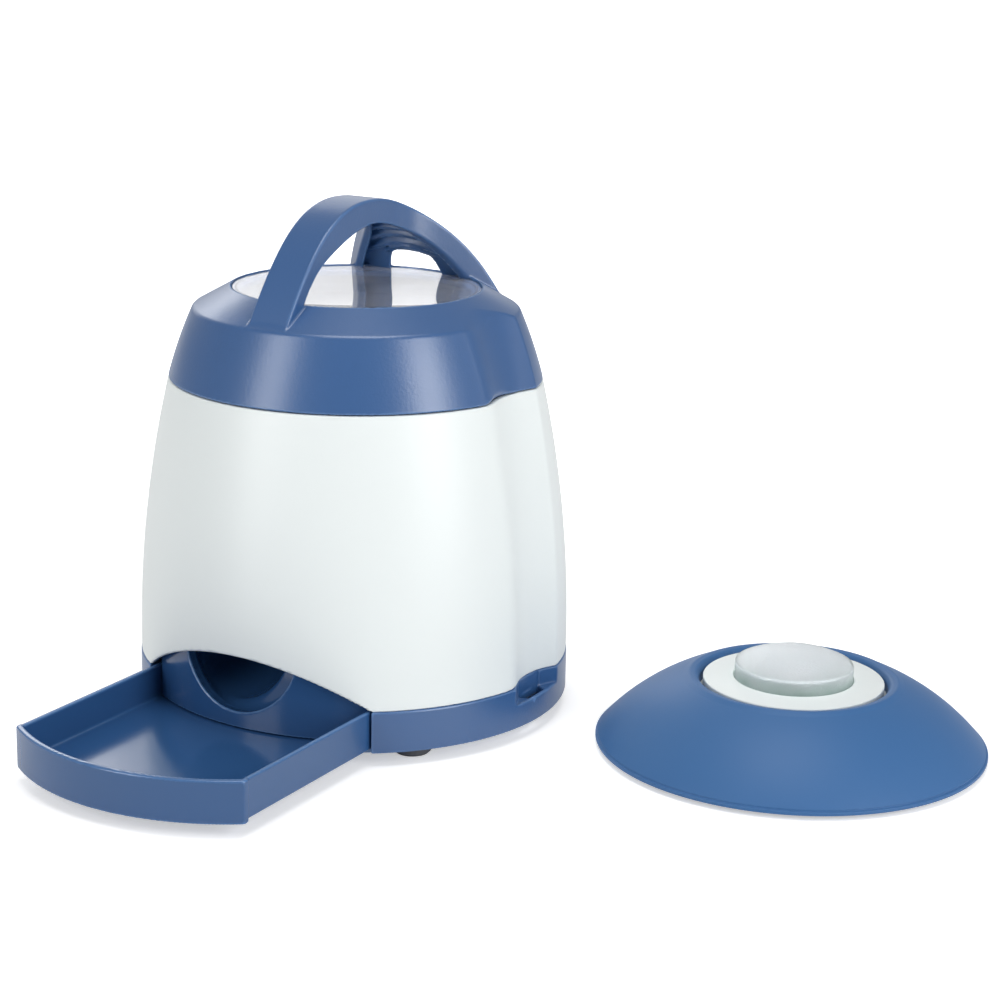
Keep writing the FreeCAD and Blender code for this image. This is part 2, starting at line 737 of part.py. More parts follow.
def dosing_rotor():
    """A disc with a ring of round treat pockets and a cone over its hub."""
    disc = cylinder(rotor_radius, rotor_bottom, rotor_top)
    hub = cone(rotor_hub_radius, 0.5 * rotor_hub_radius, rotor_top, rotor_top + rotor_hub_rise)
    rotor = disc.fuse(hub)
    first = math.degrees(drop_angle)
    for index in range(rotor_pockets):
        angle = math.radians(first + 360.0 * index / rotor_pockets)
        rotor = rotor.cut(cylinder(pocket_radius, rotor_bottom - 1, rotor_top + 1,
                                   pocket_circle * math.cos(angle), pocket_circle * math.sin(angle)))
    return rotor.cut(flatted_shaft(0.03, rotor_bottom - 1, rotor_top)).removeSplitter()


def drive_shaft():
    """A round shaft with a flat where the gear and the rotor sit."""
    foot = cylinder(shaft_radius, deck_bottom + 1.0, gear_bottom)
    lower = flatted_shaft(0.0, gear_bottom, gear_bottom + gear_width)
    middle = cylinder(shaft_radius, gear_bottom + gear_width, rotor_bottom)
    upper = flatted_shaft(0.0, rotor_bottom, rotor_top - 0.3)
    return foot.fuse([lower, middle, upper]).removeSplitter()


# Gear train

def involute(angle):
    return math.tan(angle) - angle


def gear(teeth, bottom, top, phase):
    """A spur gear blank with involute teeth; phase is the direction of one tooth's centre."""
    pitch_radius = 0.5 * gear_module * teeth
    base_circle = pitch_radius * math.cos(pressure_angle)
    tip_radius = pitch_radius + 0.95 * gear_module
    root_radius = pitch_radius - 1.25 * gear_module
    half_tooth = 0.5 * math.pi / teeth - 0.5 * gear_backlash / pitch_radius

    def flank_angle(radius):
        angle = math.acos(base_circle / max(radius, base_circle))
        return half_tooth + involute(pressure_angle) - involute(angle)

    radii = sorted({root_radius, max(root_radius, base_circle), pitch_radius, tip_radius})
    points = []
    for index in range(teeth):
        centre = phase + 2 * math.pi * index / teeth
        for radius in radii:
            angle = centre - flank_angle(radius)
            points.append(Vector(radius * math.cos(angle), radius * math.sin(angle), bottom))
        for radius in reversed(radii):
            angle = centre + flank_angle(radius)
            points.append(Vector(radius * math.cos(angle), radius * math.sin(angle), bottom))
    face = Part.Face(Part.makePolygon(points + points[:1]))
    return face.extrude(Vector(0, 0, top - bottom))


def drive_gear():
    blank = gear(drive_teeth, gear_bottom, gear_bottom + gear_width, idler_direction)
    recess = cylinder(0.5 * gear_module * drive_teeth - 3.0, gear_bottom + gear_width - 1.4,
                      gear_bottom + gear_width + 1)
    recess = recess.cut(cylinder(shaft_radius + 2.6, gear_bottom, gear_bottom + gear_width + 2))
    return blank.cut(recess).cut(flatted_shaft(0.03, gear_bottom - 1, gear_bottom + gear_width + 1))


def idler_gear():
    """A large and a small gear in one piece, free on its pin."""
    small_phase = idler_direction + math.pi + math.pi / pinion_teeth
    small = gear(pinion_teeth, gear_bottom, gear_bottom + gear_width + 0.4, small_phase)
    large = gear(idler_teeth, gear_bottom + gear_width + 0.4, idler_top, motor_direction)
    both = small.fuse(large)
    both = both.cut(cylinder(idler_pin_radius + shaft_gap, gear_bottom - 1, idler_top + 1))
    return moved(both, idler_x, idler_y)


def idler_pin():
    return cylinder(idler_pin_radius, deck_bottom + 0.9, gearbox_bottom + 1.2, idler_x, idler_y)


def motor_pinion():
    phase = motor_direction + math.pi + math.pi / pinion_teeth
    blank = gear(pinion_teeth, gear_bottom + gear_width + 0.8, idler_top + 0.3, phase)
    return moved(blank.cut(cylinder(motor_shaft_radius, gear_bottom, idler_top + 1)), motor_x, motor_y)


def motor_shaft():
    return cylinder(motor_shaft_radius, gear_bottom + gear_width + 0.8, gearbox_top + 9.0, motor_x, motor_y)


def motor_can():
    """A small round motor with two flats, its nose in the gearbox cover."""
    top = gearbox_top + motor_length
    can = cylinder(motor_radius, gearbox_top, top)
    can = can.common(box(-20, 20, -0.5 * motor_flat, 0.5 * motor_flat, gearbox_top, top))
    cap = cylinder(0.62 * motor_radius, top, top + 1.6)
    nose = cylinder(3.0, gearbox_top - 1.5, gearbox_top)
    bore = cylinder(motor_shaft_radius + shaft_gap, gearbox_bottom - 1, gearbox_top + 9.4)
    return moved(can.fuse([cap, nose]).cut(bore), motor_x, motor_y)


def gearbox_cover():
    """The plate over the gears: it carries the motor and steadies the drive shaft."""
    first, second, third = gearbox_posts()
    corners = [first, (-4.0, -1.0), second, (motor_x + 6.0, motor_y - 3.0),
               (motor_x - 1.0, motor_y + 6.0), third]
    outline = closed_face(floor_plane, *corners)
    plate = outline.makeOffset2D(5.0).extrude(Vector(0, 0, rib_wall))
    plate.translate(Vector(0, 0, gearbox_bottom))
    plate = plate.cut(cylinder(shaft_radius + shaft_gap, gearbox_bottom - 1, gearbox_top + 1))
    plate = plate.cut(cylinder(idler_pin_radius, gearbox_bottom - 1, gearbox_bottom + 1.3, idler_x, idler_y))
    plate = plate.cut(cylinder(3.1, gearbox_bottom - 1, gearbox_top + 1, motor_x, motor_y))
    for x, y in gearbox_posts():
        plate = plate.cut(cylinder(1.1, gearbox_bottom - 1, gearbox_top + 1, x, y))
    for x, y in post_places():
        plate = plate.cut(cylinder(post_radius + gap, gearbox_bottom - 1, gearbox_top + 1, x, y))
    return plate


def gearbox_screws():
    screws = []
    for x, y in gearbox_posts():
        head = cylinder(2.0, gearbox_top, gearbox_top + 1.3, x, y)
        slot = box(x - 1.5, x + 1.5, y - 0.3, y + 0.3, gearbox_top + 0.7, gearbox_top + 2)
        screws.append(head.fuse(cylinder(0.8, gearbox_top - 7.5, gearbox_top, x, y)).cut(slot))
    return Part.makeCompound(screws)


# Lid with its window, seal and handle

def handle_slab(drop, depth=None):
    """The handle's side view right across the lid, its top lowered by drop.

    It is depth thick where a depth is given, and else reaches to the handle's own underside.
    """
    top = [(ridge_radius * along, handle_rise * up) for along, up in handle_top_line]
    low = [(ridge_radius * along, handle_rise * up) for along, up in handle_low_line]
    if depth is not None:
        low = [(y, z - depth) for y, z in top]
    upper = [Vector(-base_radius, y, ridge_top + z - drop) for y, z in top]
    lower = [Vector(-base_radius, y, ridge_top + z - drop) for y, z in low]
    edges = [spline(upper).toShape(), Part.LineSegment(upper[-1], lower[-1]).toShape(),
             spline(lower).toShape(), Part.LineSegment(lower[0], upper[0]).toShape()]
    face = Part.Face(Part.Wire(Part.__sortEdges__(edges)))
    return face.extrude(Vector(2 * base_radius, 0, 0))


def handle_plan(inset):
    """The handle's plan without its fork: a stem in front that spreads towards the back."""
    line = [(handle_half_width + handle_spread * out, ridge_radius * along)
            for along, out in handle_side_line]
    side = []
    for here, before, after in zip(line, line[:1] + line[:-1], line[1:] + line[-1:]):
        across, ahead = after[0] - before[0], after[1] - before[1]
        share = inset / math.hypot(across, ahead)
        side.append((here[0] - share * ahead, here[1] + share * across))
    right = [Vector(x, y, lid_bottom) for x, y in side]
    left = [Vector(-x, y, lid_bottom) for x, y in side]
    edges = [spline(right).toShape(), Part.LineSegment(right[-1], left[-1]).toShape(),
             spline(left).toShape(), Part.LineSegment(left[0], right[0]).toShape()]
    face = Part.Face(Part.Wire(Part.__sortEdges__(edges)))
    return face.extrude(Vector(0, 0, rim_top + handle_rise + 20 - lid_bottom))


def fork_space(grow):
    """The opening between the two legs: round in front and widening to the back."""
    radius = fork_radius + grow
    x, y = radius * math.cos(fork_angle), fork_centre - radius * math.sin(fork_angle)
    far = 1.2 * base_radius
    far_x = x + math.tan(fork_angle) * (far - y)
    return prism(lid_bottom - 1, rim_top + handle_rise + 30, (x, y), (far_x, far), (-far_x, far), (-x, y),
                 ((0, fork_centre - radius), (x, y)))


def handle_ribs():
    """The arched ribs across the hollow underside, just in front of the fork."""
    top = rim_top + handle_rise
    front = box(-base_radius, base_radius, 0, fork_centre, lid_bottom, top)
    ribs = []
    for index in range(rib_count):
        outer = rib_first_radius - index * rib_pitch
        ring = cylinder(outer, lid_bottom, top, 0, rib_centre)
        ring = ring.cut(cylinder(outer - arch_rib_wall, lid_bottom - 1, top + 1, 0, rib_centre))
        ribs.append(ring.common(front))
    return ribs[0].fuse(ribs[1:])


def handle():
    """The hollow handle: a thin top with two sides, a wall round the fork and the arched ribs."""
    solid = handle_slab(0.0).common(handle_plan(0.0)).cut(fork_space(0.0))
    hollow = handle_slab(handle_wall, rim_top).common(handle_plan(handle_wall))
    half = 0.5 * handle_wall
    ribs = handle_ribs().common(handle_slab(half, rib_height - half)).common(handle_plan(half))
    ribs = ribs.cut(fork_space(0.5 * fork_wall))
    lip = fork_centre - fork_radius
    start, end = lip - fork_wall - 0.5, 1.2 * base_radius
    level = ridge_top + fork_lip_height
    under = Part.makePolygon([Vector(0, start, level + fork_lip_fall * (lip - start)),
                              Vector(0, end, level + fork_lip_fall * (lip - end)),
                              Vector(0, start, level + fork_lip_fall * (lip - end)),
                              Vector(0, start, level + fork_lip_fall * (lip - start))])
    under = moved(Part.Face(under).extrude(Vector(2 * base_radius, 0, 0)), -base_radius)
    return solid.cut(hollow.cut(fork_space(fork_wall))).fuse(ribs).cut(under.common(hollow))


def lid_cap():
    """Band, chamfer and handle as one moulding, hollow underneath, with a skirt that enters the shell."""
    skirt_bottom = ledge_bottom + 1.5
    skirt_inner = skirt_radius - 1.8
    slope = math.hypot(ridge_radius - window_radius, chamfer_height)
    across, down = wall * chamfer_height / slope, wall * (ridge_radius - window_radius) / slope
    seat_inner = window_radius - window_ledge
    seat_bottom = window_bottom - 1.8
    run = (ridge_radius - window_radius) / chamfer_height
    inner_rim = window_radius - across + (rim_top - down - seat_bottom) * run
    inner_skirt = rim_top - down - (skirt_inner - window_radius + across) / run
    band = (arc_middle(band_low, band_high, band_bulge), band_high)
    cap = turned((skirt_inner, skirt_bottom), (skirt_radius, skirt_bottom), (skirt_radius, lid_bottom),
                 band_low, band, (window_radius, rim_top), (window_radius, window_bottom),
                 (seat_inner, window_bottom), (seat_inner, seat_bottom), (inner_rim, seat_bottom),
                 (skirt_inner, inner_skirt))
    shell_form = turned((0, lid_bottom), band_low, band, (window_radius, rim_top), (0, rim_top))
    backing = flute_cutter(lid_bottom, wall).common(shell_form)
    backing = backing.cut(cylinder(seat_inner, lid_bottom, rim_top + 1))
    low_inner, high_inner = (seam_radius - wall, lid_bottom - 1), (ridge_radius - wall, ridge_top)
    middle = arc_middle(low_inner, high_inner, band_bulge)
    groove = turned((skirt_radius, lid_bottom - 1), low_inner, (middle, high_inner),
                    (skirt_radius - 8, ridge_top))
    groove = groove.common(cylinder(base_radius, lid_bottom - 1, lid_bottom + 0.62 * band_height))
    groove = groove.cut(cylinder(skirt_radius, lid_bottom - 2, ridge_top + 1))
    groove = groove.cut(flute_cutter(lid_bottom - 1, wall))
    trim = turned((0, lid_bottom - 5), (seam_radius - 1.2, lid_bottom - 5), (seam_radius - 1.2, lid_bottom),
                  (ridge_radius - 1.0, ridge_top - 0.8), (window_radius, rim_top - 1.2),
                  (window_radius, rim_top), (0, rim_top))
    cap = cap.fuse([backing, handle().cut(trim)]).cut(groove)
    return cap.cut(flute_cutter(lid_bottom - 1)).removeSplitter()


def lid_window():
    edge = window_radius - 0.15
    return turned((0, window_bottom), (edge, window_bottom), (edge, window_top - 0.4),
                  (edge - 0.4, window_top), (0, window_top))


def lid_seal():
    """A soft ring under the lid's skirt, just clear of the hopper's rim."""
    bottom, top = ledge_bottom + gap, ledge_bottom + 1.5
    outer, inner = skirt_radius, skirt_radius - 1.8
    return turned((inner, top), (inner, bottom + 0.5), (0.5 * (inner + outer), bottom),
                  (outer, bottom + 0.5), (outer, top))


# Remote, built about its own axis

def skirt_outline(offset):
    """The skirt's sloping line from rim to crest, offset inwards by a thickness."""
    rim = (remote_radius - 0.6, remote_rim + rim_height + rim_step)
    crest = (skirt_crest_radius, skirt_crest_height)
    length = math.hypot(rim[0] - crest[0], crest[1] - rim[1])
    shift = (offset * (crest[1] - rim[1]) / length, offset * (rim[0] - crest[0]) / length)
    low = (rim[0] - shift[0], rim[1] - shift[1])
    high = (crest[0] - shift[0], crest[1] - shift[1])
    return low, arc_middle(low, high, skirt_bulge), high


def remote_skirt():
    """The sloping soft cover, with a thin step above its rim and a rolled lip round the white plate."""
    low, middle, high = skirt_outline(0.0)
    inner_low, inner_middle, inner_high = skirt_outline(skirt_wall)
    lip = plate_radius + 0.6
    inner_rim = remote_radius - skirt_wall - 0.4
    run = (inner_low[0] - inner_high[0]) / (inner_high[1] - inner_low[1])
    seat_radius = inner_high[0] + (inner_high[1] - skirt_seat) * run + 1.2
    arc_end = (seat_radius, skirt_seat)
    roll = (skirt_lip_radius, skirt_crest_height + skirt_lip_rise)
    foot = (inner_rim, remote_rim + 2.2)
    return turned((inner_rim, remote_rim), (remote_radius, remote_rim),
                  (remote_radius, remote_rim + rim_height), low, (middle, high),
                  (roll, (lip, skirt_crest_height - 0.9)), (lip, skirt_seat), arc_end,
                  (arc_middle(arc_end, foot, -skirt_bulge), foot))


def case_boss_places():
    radius = plate_radius + 3.1
    return [(radius * math.cos(math.radians(angle)), radius * math.sin(math.radians(angle)))
            for angle in (45, 135, 225, 315)]


def remote_case():
    """The white core: top plate with the button's hole, round wall, and a flange that holds the skirt."""
    core = turned((lens_radius + gap, plate_height - plate_wall), (lens_radius + gap, plate_height),
                  (plate_radius - 0.3, plate_height), (plate_radius, plate_height - 0.3),
                  (plate_radius, skirt_seat), (plate_radius + 5.7, skirt_seat),
                  (plate_radius + 5.7, skirt_seat - rib_wall),
                  (plate_radius, skirt_seat - rib_wall), (plate_radius, remote_cover_top),
                  (core_radius, remote_cover_top), (core_radius, plate_height - plate_wall))
    core = core.fuse([cylinder(2.8, remote_cover_top, skirt_seat - 0.5 * rib_wall, x, y)
                      for x, y in case_boss_places()])
    for x, y in case_boss_places():
        core = core.cut(cylinder(screw_radius, remote_cover_top - 1, remote_cover_top + 8.5, x, y))
    return core.removeSplitter()


remote_door_half = (small_cell_length * 0.5 + 2.6, 2 * small_cell_radius + 1.6)
remote_door_screw = (remote_door_half[0] + 9.0, 0.0)


def remote_door_plan(grow, bottom, top):
    half_x, half_y = remote_door_half[0] + grow, remote_door_half[1] + grow
    plate = rounded_box(-half_x, half_x, -half_y, half_y, bottom, top, 3.0)
    tab = rounded_box(0, remote_door_screw[0] + boss_radius + grow, -boss_radius - grow, boss_radius + grow,
                      bottom, top, 2.0 + grow)
    return plate.fuse(tab).removeSplitter()


def remote_base():
    """The flat underside with ribs that hold up the skirt, and posts for the board."""
    radius = remote_radius - skirt_wall - 1.9
    base = cylinder(radius, remote_floor, remote_cover_top)
    low, middle, high = skirt_outline(skirt_wall + 1.0)
    rib_low = (low[0] - 3.0, remote_cover_top - 0.5)
    rib_high = (high[0] + 4.0, skirt_seat - 0.9)
    space = turned((plate_radius + 6.2, rib_low[1]), rib_low, (arc_middle(rib_low, rib_high, 0.8), rib_high),
                   (plate_radius + 6.2, rib_high[1]))
    ribs = []
    for index in range(remote_rib_count):
        rib = box(0, remote_radius, -0.8, 0.8, remote_cover_top - 0.5, plate_height)
        ribs.append(turn_about_z(rib, 360.0 * (index + 0.5) / remote_rib_count).common(space))
    posts = [cylinder(2.2, remote_cover_top, board_bottom, x, y)
             for x in (-12.0, 12.0) for y in (-core_radius + 7.6, core_radius - 7.6)]
    x, y = remote_door_screw
    base = base.fuse(ribs + posts + [cylinder(3.0, remote_cover_top, remote_cover_top + 6.0, x, y)])
    base = base.cut(remote_door_plan(gap, remote_floor - 1, remote_cover_top - 0.6))
    opening = box(-remote_door_half[0] + 1.2, remote_door_half[0] - 1.2, -remote_door_half[1] + 1.2,
                  remote_door_half[1] - 1.2, remote_floor - 1, remote_cover_top)
    base = base.cut(opening).cut(cylinder(screw_radius, remote_floor - 1, remote_cover_top + 5, x, y))
    for x, y in case_boss_places():
        base = base.cut(screw_hole(x, y, remote_floor - 1, remote_cover_top + 1))
    return base.removeSplitter()


def remote_battery_door():
    x, y = remote_door_screw
    door = remote_door_plan(0.0, remote_floor, remote_cover_top - 0.6)
    return door.cut(screw_hole(x, y, remote_floor - 1, remote_cover_top))


def remote_screws():
    """Four screws up into the case and one through the battery door."""
    low = remote_floor - screw_head
    short = [screw(x, y, low, 7.5) for x, y in case_boss_places()]
    return Part.makeCompound(short + [screw(remote_door_screw[0], remote_door_screw[1], low, 5.5)])


def remote_feet():
    circle = 0.75 * remote_radius
    places = [(circle * math.cos(math.radians(angle)), circle * math.sin(math.radians(angle)))
              for angle in (20, 110, 200, 290)]
    return Part.makeCompound([rubber_foot(5.0, remote_floor, x, y) for x, y in places])


def remote_cells():
    cells = []
    for side in (-1, 1):
        lying = cell(small_cell_radius, small_cell_length, 0, 0, -0.5 * small_cell_length, side > 0)
        lying.rotate(Vector(0, 0, 0), Vector(0, 1, 0), 90)
        offset = side * (small_cell_radius + 0.2)
        cells.append(moved(lying, 0, offset, remote_cover_top + 0.4 + small_cell_radius))
    return Part.makeCompound(cells)


def remote_contacts():
    end = 0.5 * small_cell_length + 0.15
    reach = 2 * small_cell_radius - 1.0
    low, high = remote_cover_top + 1.2, remote_cover_top + 2 * small_cell_radius - 1.0
    return Part.makeCompound([box(end, end + sheet, -reach, reach, low, high),
                              box(-end - sheet, -end, -reach, -0.6, low, high),
                              box(-end - sheet, -end, 0.6, reach, low, high)])


def remote_board():
    return cylinder(core_radius - 0.5, board_bottom, board_top)


def remote_leds():
    """Small domed lamps beside the switch."""
    lamp = turned((0, board_top), (1.9, board_top), (1.9, board_top + 0.8), (1.5, board_top + 0.8),
                  (1.5, board_top + 2.6),
                  (dome_middle((1.5, board_top + 2.6), board_top + 4.1), (0.2, board_top + 4.1)),
                  (0, board_top + 4.1))
    return Part.makeCompound([moved(lamp, x, 0) for x in (-11.5, 11.5)])


def press_switch():
    body = rounded_box(-3.1, 3.1, -3.1, 3.1, board_top, board_top + 3.6, 0.6)
    return body.cut(cylinder(1.75 + shaft_gap, board_top + 0.8, board_top + 4))


def switch_plunger():
    return cylinder(1.75, board_top + 2.8, board_top + 5.6)


def button_lens():
    """The frosted dome: a hollow cap with a flange under the plate and a stem over the switch."""
    shoulder = plate_height + lens_side
    flange_top = plate_height - plate_wall - 0.2
    flange_bottom = flange_top - 1.2
    inner = lens_radius - lens_wall
    rim = (lens_radius - 0.7, shoulder + 0.25)
    inner_rim = (inner, shoulder - 0.9)
    under = lens_top - lens_wall
    flange = lens_radius + lens_flange
    cap = turned((inner, flange_bottom), (flange, flange_bottom), (flange, flange_top),
                 (lens_radius, flange_top), (lens_radius, shoulder - 0.5),
                 ((lens_radius - 0.2, shoulder - 0.05), rim), (dome_middle(rim, lens_top), (0.5, lens_top)),
                 (0, lens_top), (0, under), (0.5, under), (dome_middle(inner_rim, under), inner_rim))
    stem = cylinder(2.2, board_top + 5.7, under + 0.5)
    seat = cylinder(spring_radius + 1.4, spring_top + 0.1, under - 0.3)
    seat = seat.cut(cylinder(spring_radius - 1.2, spring_top - 1, under + 1))
    return cap.fuse([stem, seat]).removeSplitter()


def tangent_arc(start, corner, end):
    """The arc from start to end whose end tangents meet at corner."""
    chord = end - start
    middle = (start + end) * 0.5
    half = 0.5 * chord.Length
    slope = math.acos(min(1.0, half / (corner - start).Length))
    through = middle + (corner - middle).normalize() * (half * math.tan(0.5 * slope))
    return Part.Arc(start, through, end).toShape()


def helix_arcs(radius, low, high, turns, per_turn=4):
    """A helix as pairs of arcs that meet smoothly, per_turn pairs to a turn."""
    count = turns * per_turn
    step = 2 * math.pi / per_turn
    rise = (high - low) / count
    points, tangents = [], []
    for index in range(count + 1):
        angle = index * step
        across, along = math.cos(angle), math.sin(angle)
        points.append(Vector(radius * across, radius * along, low + rise * index))
        tangents.append(Vector(-radius * step * along, radius * step * across, rise).normalize())
    edges = []
    for here, there, leave, arrive in zip(points, points[1:], tangents, tangents[1:]):
        chord = there - here
        along = chord.dot(leave + arrive)
        bend = 2 * (1 - leave.dot(arrive))
        reach = (math.sqrt(along ** 2 + bend * chord.Length ** 2) - along) / bend
        first, second = here + leave * reach, there - arrive * reach
        middle = (first + second) * 0.5
        edges += [tangent_arc(here, first, middle), tangent_arc(middle, second, there)]
    return Part.Wire(edges)


def button_spring():
    """A round-wire compression spring between the board and the lens."""
    low, high = board_top + spring_wire + 0.05, spring_top - spring_wire - 0.05
    path = helix_arcs(spring_radius, low, high, spring_turns)
    first = path.Edges[0]
    direction = first.tangentAt(first.FirstParameter)
    section = Part.Wire(Part.Circle(path.Vertexes[0].Point, direction, spring_wire).toShape())
    return path.makePipeShell([section], True, False)


dispenser_pieces = [outer_shell, base_ring, bottom_cover, battery_door, dispenser_feet, case_screws,
                    chassis_deck, chute_housing, hopper, drop_guard, dosing_rotor, drive_shaft, drive_gear,
                    idler_gear, idler_pin, motor_pinion, motor_shaft, motor_can, gearbox_cover,
                    gearbox_screws, main_board, board_parts, buzzer, power_switch, switch_knob, battery_box,
                    battery_cells, battery_contacts, lid_cap, lid_window, lid_seal, tray]
remote_pieces = [remote_skirt, remote_case, remote_base, remote_feet, remote_screws, remote_battery_door,
                 remote_cells, remote_contacts, remote_board, remote_leds, press_switch, switch_plunger,
                 button_lens, button_spring]


def main():
    os.makedirs("parts", exist_ok=True)
    origin_x = 0.5 * (remote_x + remote_radius - base_radius)
    back = max(base_radius, remote_y + remote_radius)
    origin_y = 0.5 * (back - base_radius - tray_pull)
    for pieces, x, y in ((dispenser_pieces, 0.0, 0.0), (remote_pieces, remote_x, remote_y)):
        for piece in pieces:
            shape = moved(piece(), x - origin_x, y - origin_y)
            shape.exportStep("parts/%s.step" % piece.__name__)
            print("%-20s solids %d volume %.1f valid %s"
                  % (piece.__name__, len(shape.Solids), shape.Volume, shape.isValid()))


main()
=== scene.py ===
"""Looks for a round treat dispenser with a pull-out tray and the push-button remote beside it.

The visible mouldings are built as smooth surfaces from distance fields and turned profiles, in the
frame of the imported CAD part. Lengths inside this file are millimetres about the dispenser's own axis
or the remote's own axis; they are turned into the row's metres when a mesh is made.
"""

from __future__ import annotations

import json
import logging
import math
from dataclasses import dataclass
from enum import Enum
from typing import Callable, Sequence

import bpy  # noqa: E402
import numpy as np  # noqa: E402
from mathutils import Matrix, Vector  # noqa: E402

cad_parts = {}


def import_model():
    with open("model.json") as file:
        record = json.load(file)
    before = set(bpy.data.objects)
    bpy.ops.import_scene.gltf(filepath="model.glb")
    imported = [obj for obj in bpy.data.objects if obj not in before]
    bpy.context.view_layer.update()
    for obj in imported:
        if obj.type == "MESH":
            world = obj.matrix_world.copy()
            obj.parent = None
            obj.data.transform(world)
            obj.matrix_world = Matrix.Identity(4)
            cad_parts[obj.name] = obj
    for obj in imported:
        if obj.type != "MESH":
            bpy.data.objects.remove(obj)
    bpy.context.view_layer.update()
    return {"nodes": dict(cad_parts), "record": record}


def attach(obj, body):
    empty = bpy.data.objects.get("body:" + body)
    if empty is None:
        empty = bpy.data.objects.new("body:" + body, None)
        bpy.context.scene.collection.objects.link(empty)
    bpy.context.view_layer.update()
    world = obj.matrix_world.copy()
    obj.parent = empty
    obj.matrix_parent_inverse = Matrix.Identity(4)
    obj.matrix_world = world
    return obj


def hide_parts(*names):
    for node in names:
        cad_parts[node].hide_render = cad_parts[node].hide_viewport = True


log = logging.getLogger("scene")

Array = np.ndarray
Field = Callable[[Array, Array, Array], Array]
Mesh = tuple[Array, Array, Array]
Colour = tuple[float, float, float]

MILLIMETRE = 0.001

# Where the two upright axes stand in the row, in millimetres
DISPENSER = (-67.42151, 21.38496)
REMOTE = (75.92151, 52.11656)


class Body(str, Enum):
    """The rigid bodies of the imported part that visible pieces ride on."""

    DISPENSER = "dispenser"
    LID = "lid"
    TRAY = "tray"
    REMOTE = "remote"
    BUTTON = "button"


# Distance field helpers


def smooth_max(a: Array, b: Array, k: float | Array) -> Array:
    """The larger of two fields with a round of about k where they meet.

    Args:
        a: First field's values.
        b: Second field's values.
        k: Width of the rounding, in millimetres.

    Returns:
        The blended values, never below either input.
    """
    h = np.clip(0.5 + 0.5 * (a - b) / k, 0.0, 1.0)
    return b + (a - b) * h + k * h * (1.0 - h)


def smooth_min(a: Array, b: Array, k: float | Array) -> Array:
    """The smaller of two fields with a fillet of about k where they meet.

    Args:
        a: First field's values.
        b: Second field's values.
        k: Width of the fillet, in millimetres.

    Returns:
        The blended values, never above either input.
    """
    return -smooth_max(-a, -b, k)


def slab(v: Array, low: float, high: float) -> Array:
    """Distance to the space between two parallel planes.

    Args:
        v: Coordinate across the planes.
        low: Lower plane.
        high: Upper plane.

    Returns:
        Signed distance, negative between the planes.
    """
    return np.abs(v - 0.5 * (low + high)) - 0.5 * (high - low)


def gradient(field: Field, points: Array) -> Array:
    """Central differences of a field.

    Args:
        field: The distance field.
        points: Positions, one per row.

    Returns:
        One gradient per row.
    """
    step = 0.03
    out = np.empty_like(points)
    for axis in range(3):
        shift = np.zeros(3)
        shift[axis] = step
        ahead, behind = points + shift, points - shift
        out[:, axis] = (field(*ahead.T) - field(*behind.T)) / (2 * step)
    return out


def surface_net(field: Field, low: Sequence[float], high: Sequence[float], step: float) -> Mesh:
    """Meshes the zero surface of a distance field with quads that lie on it.

    Args:
        field: The distance field, negative inside the solid.
        low: Lowest corner of the box to search.
        high: Highest corner of the box to search.
        step: Side of one cell.

    Returns:
        Vertices, quads and unit vertex normals.
    """
    block = 4
    reach = 1.15
    pulls = 3
    least_slope = 0.05
    start = np.asarray(low, float)
    span = step * block
    blocks = np.ceil((np.asarray(high, float) - start) / span).astype(int)
    centres = [start[i] + (np.arange(blocks[i]) + 0.5) * span for i in range(3)]
    full = field(*np.meshgrid(*centres, indexing="ij"))
    for axis in range(3):
        full = full.repeat(block, axis)
    near = np.nonzero(np.abs(full) < reach * span)
    full[near] = field(*(start[i] + (near[i] + 0.5) * step for i in range(3)))
    inside = full < 0
    corners = np.array([(i, j, k) for i in (0, 1) for j in (0, 1) for k in (0, 1)])
    size = np.array(full.shape) - 1
    total = sum(
        inside[i : i + size[0], j : j + size[1], k : k + size[2]].astype(np.int8) for i, j, k in corners
    )
    active = (total > 0) & (total < 8)
    cells = np.argwhere(active)
    number = np.full(active.shape, -1, np.int32)
    number[active] = np.arange(len(cells))
    values = np.stack([full[tuple((cells + corner).T)] for corner in corners], axis=1)
    place = np.zeros((len(cells), 3))
    crossings = np.zeros(len(cells))
    for a in range(8):
        for bit in (4, 2, 1):
            if a & bit:
                continue
            b = a | bit
            crosses = (values[:, a] < 0) != (values[:, b] < 0)
            drop = np.where(crosses, values[:, a] - values[:, b], 1.0)
            share = np.where(crosses, values[:, a] / drop, 0.0)
            place += crosses[:, None] * (corners[a] + share[:, None] * (corners[b] - corners[a]))
            crossings += crosses
    points = start + (cells + place / crossings[:, None] + 0.5) * step
    quads = []
    for axis in range(3):
        one = np.zeros(3, int)
        one[axis] = 1
        first = tuple(slice(0, n - o) for n, o in zip(inside.shape, one))
        second = tuple(slice(o, n) for n, o in zip(inside.shape, one))
        edges = np.argwhere(inside[first] != inside[second])
        u, v = np.eye(3, dtype=int)[(axis + 1) % 3], np.eye(3, dtype=int)[(axis + 2) % 3]
        room = np.all((edges - u - v >= 0) & (edges < size), axis=1)
        edges = edges[room]
        ring = [edges - u - v, edges - v, edges, edges - u]
        quad = np.stack([number[tuple(c.T)] for c in ring], axis=1)
        outward = inside[tuple(edges.T)]
        quads.append(np.where(outward[:, None], quad, quad[:, ::-1]))
    for _ in range(pulls):
        slope = gradient(field, points)
        distance = np.clip(field(*points.T), -0.5 * step, 0.5 * step)
        points -= slope * (distance / np.maximum((slope**2).sum(1), least_slope))[:, None]
    slope = gradient(field, points)
    normals = slope / np.maximum(np.linalg.norm(slope, axis=1), 1e-6)[:, None]
    return points, np.concatenate(quads), normals


# Turned profiles


